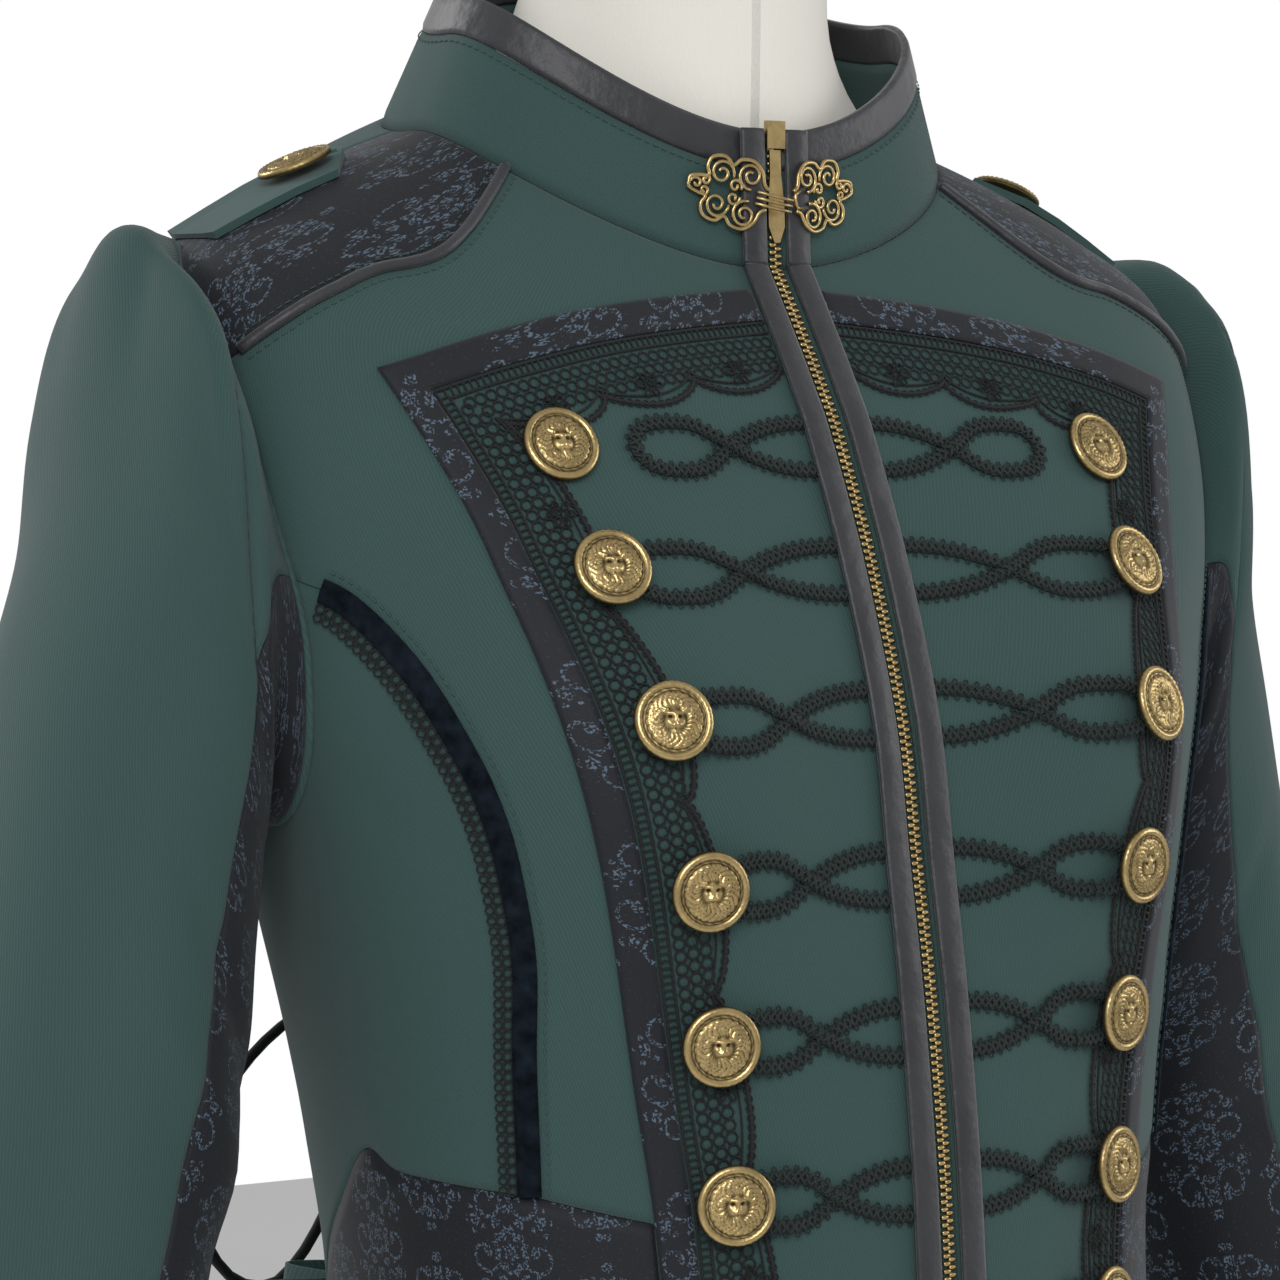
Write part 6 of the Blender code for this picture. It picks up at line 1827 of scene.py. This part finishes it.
def make_clasp():
    """Filigree hook and eye of scrolled wire in the place of the flat plates."""
    v = np.array([CLASP_PLACE_V])
    seats = []
    for x, rise in ((12.0, STRIP_TOP + 0.45), (33.0, 0.75)):
        phi = np.array([float(phi_across(x, CLASP_PLACE_V))])
        seats.append(shell(phi, v)[0] + outward(shell, phi, v)[0] * rise)
    along = seats[1] - seats[0]
    along /= np.linalg.norm(along)
    up = np.array([0, 0, 1.0]) - along * along[2]
    up /= np.linalg.norm(up)
    out = np.cross(along, up)
    outline = np.concatenate([CLASP_OUTLINE, CLASP_OUTLINE[-2::-1] * np.array([1, -1])])
    for label, side in SIDES:
        wires = [(even_line(outline, spacing=0.9), 0.72), (spiral((30.6, 0.0), 2.1, 0, 1.0), 0.6)]
        wires += [(spiral(*scroll), 0.62) for scroll in CLASP_SCROLLS]
        if side < 0:
            for height in (-1.9, 0.0, 1.9):
                wires.append((np.array([(9.0, height), (4.0, height), (0.0, height), (-4.0, height)]), 0.6))
        else:
            wires.append((np.array([(8.0, 3.0), (5.6, 2.2), (5.1, 0.0), (5.6, -2.2), (8.0, -3.0)]), 0.62))
        parts = []
        for wire, radius in wires:
            points = (seats[0] + (wire[:, :1] - 12.0) * along + wire[:, 1:] * up + out * 0.76)
            points = points * np.array([side, 1.0, 1.0])
            parts.append(tube(points, radius, 8))
        points, faces, uv, relief = joined(parts)
        piece = mesh_piece(f"scroll_clasp_{label}", points, faces, FINISH["antique_brass"], uv, relief)
        settle(facing_out(piece), [f"clasp_{label}"])


def make_armhole_seams():
    """Turned seam of cloth that closes each armhole between the body and the sleeve."""
    turns = np.linspace(0, 360, 201)
    coords = np.array([np.ravel(armhole_at(turn))[:2] for turn in turns])
    for label, side in SIDES:
        spots, normals, _ = laid_line(shell, coords)
        points, faces, uv, relief = swept(spots, normals, round_section(3.6, 3.0, 12, -0.9), side)
        piece = mesh_piece(f"armhole_seam_{label}", points, faces, FINISH["green_twill"], uv, relief)
        settle(piece)


def make_stage():
    """Pale floor, soft studio light and the camera at the photo's angle."""
    scene = bpy.context.scene
    floor = mesh_piece("studio_floor", [(-6000, -6000, -0.5), (6000, -6000, -0.5), (6000, 6000, -0.5),
                                        (-6000, 6000, -0.5)], [[0, 1, 2, 3]], stage_paint())
    world = bpy.data.worlds.new("studio")
    scene.world = world
    world.use_nodes = True
    tree = world.node_tree
    backdrop = tree.nodes["Background"]
    backdrop.inputs["Color"].default_value = (1, 1, 1, 1)
    path = tree.nodes.new("ShaderNodeLightPath")
    strength = add(tree, "ShaderNodeMapRange", {"Value": path.outputs["Is Camera Ray"], "To Min": WORLD_LIGHT,
                                                "To Max": 1.0})
    tree.links.new(strength.outputs["Result"], backdrop.inputs["Strength"])
    for name, spot, target, size, power in LAMPS:
        lamp = bpy.data.lights.new(name, "AREA")
        lamp.shape = "DISK"
        lamp.size = size
        lamp.energy = power
        item = bpy.data.objects.new(name, lamp)
        scene.collection.objects.link(item)
        item.location = spot
        item.rotation_euler = (Vector(target) - Vector(spot)).to_track_quat("-Z", "Y").to_euler()
    camera = bpy.data.cameras.new("photo_camera")
    camera.sensor_width = 36
    camera.lens = CAMERA_LENS
    camera.clip_end = 50
    item = bpy.data.objects.new("photo_camera", camera)
    scene.collection.objects.link(item)
    azimuth, elevation = math.radians(CAMERA_AZIMUTH), math.radians(CAMERA_ELEVATION)
    back = Vector((math.sin(azimuth) * math.cos(elevation), -math.cos(azimuth) * math.cos(elevation),
                   math.sin(elevation)))
    right = Vector((math.cos(azimuth), math.sin(azimuth), 0))
    item.location = CAMERA_REACH * back + CAMERA_ASIDE * right + Vector((0, 0, CAMERA_TARGET_Z))
    item.rotation_euler = (-back).to_track_quat("-Z", "Y").to_euler()
    scene.camera = item
    scene.view_settings.view_transform = "Standard"


def stage_paint():
    """Plain pale floor."""
    material, tree, shader, coordinates = fresh_material("studio_floor")
    soft = place_group(tree, patches_group(), {"Spot": coordinates.outputs["Object"], "Scale": 0.4})
    tone = mix(tree, soft.outputs["Shade"], (0.80, 0.80, 0.80), (0.84, 0.84, 0.84))
    tree.links.new(tone, shader.inputs["Base Color"])
    shader.inputs["Roughness"].default_value = 0.7
    return material


CAMERA_AZIMUTH = -34.0
CAMERA_ELEVATION = 2.05
CAMERA_LENS = 127.35
CAMERA_REACH = 1.5
CAMERA_ASIDE = -0.0342
CAMERA_TARGET_Z = 1.235
WORLD_LIGHT = 0.52
# Lamps: name, place, target, size and power
LAMPS = (
    ("key_light", (-1.9, -2.6, 2.7), (0, 0, 1.2), 1.8, 56.0),
    ("side_light", (2.8, -1.2, 2.0), (0, 0, 1.2), 1.6, 16.0),
    ("back_light", (-1.6, 2.6, 2.6), (0, 0, 1.3), 1.6, 36.0),
)


class JacketOperator:
    """Shared base of the jacket's operators."""

    bl_options = {"REGISTER", "UNDO"}
    work = None

    def execute(self, context):
        type(self).work()
        return {"FINISHED"}


def operator(name, label, text, work):
    """Operator class for one piece or group of like pieces."""
    return type(f"JACKET_OT_{name}", (JacketOperator, bpy.types.Operator), {
        "bl_idname": f"jacket.{name}", "bl_label": label, "__doc__": text, "work": staticmethod(work)})


OPERATORS = [
    operator("stage", "Stage", "Make the floor, the light and the camera.", make_stage),
    operator("cords", "Cords", "Make the lacing and the bow's cords.", make_cords),
    operator("form", "Dress form", "Make the dress form and its stand.", make_form),
    operator("body", "Body", "Make the body's panels.", make_body),
    operator("back", "Back", "Make the back and its pleated skirt.", make_back),
    operator("sleeves", "Sleeves", "Make the sleeves.", make_sleeves),
    operator("collar", "Collar", "Make the collar and its binding.", make_collar),
    operator("border", "Border", "Make the plastron's border.", make_border),
    operator("lace", "Lace", "Make the lace inside the border.", make_lace),
    operator("frogs", "Frogs", "Make the frogs.", make_frogs),
    operator("buttons", "Buttons", "Make the buttons.", make_buttons),
    operator("seam_trims", "Seam trims", "Make the seam trims and the piping.", make_seam_trims),
    operator("zip", "Zip", "Make the zip's teeth, tape and strips.", make_zip),
    operator("stitches", "Stitches", "Make the topstitches.", make_stitches),
    operator("clasp", "Clasp", "Make the clasp's hook and eye.", make_clasp),
    operator("armholes", "Armhole seams", "Make the armholes' turned seams.", make_armhole_seams),
    operator("metal", "Kept nodes", "Give the nodes that keep their shape their finishes.", metal_nodes),
]


class JACKET_PT_panel(bpy.types.Panel):
    """Sidebar panel with the jacket's operators."""

    bl_label = "Long jacket"
    bl_space_type = "VIEW_3D"
    bl_region_type = "UI"
    bl_category = "Jacket"

    def draw(self, context):
        for kind in OPERATORS:
            self.layout.operator(kind.bl_idname)
        for group_name in ("jacket_sizes", "jacket_colours"):
            holder = getattr(context.scene, group_name)
            for label in holder.__annotations__:
                self.layout.prop(holder, label)


CLASSES = [JacketSizes, JacketColours, *OPERATORS, JACKET_PT_panel]


def register():
    """Register the classes and the scene's properties."""
    for kind in CLASSES:
        bpy.utils.register_class(kind)
    bpy.types.Scene.jacket_sizes = PointerProperty(type=JacketSizes)
    bpy.types.Scene.jacket_colours = PointerProperty(type=JacketColours)


def unregister():
    """Remove the scene's properties and the classes."""
    del bpy.types.Scene.jacket_sizes
    del bpy.types.Scene.jacket_colours
    for kind in reversed(CLASSES):
        bpy.utils.unregister_class(kind)


def main():
    """Make every piece round the packed frame."""
    register()
    prepare()
    for kind in OPERATORS:
        name = kind.bl_idname.split(".")[1]
        getattr(bpy.ops.jacket, name)()


if __name__ == "__main__":
    main()
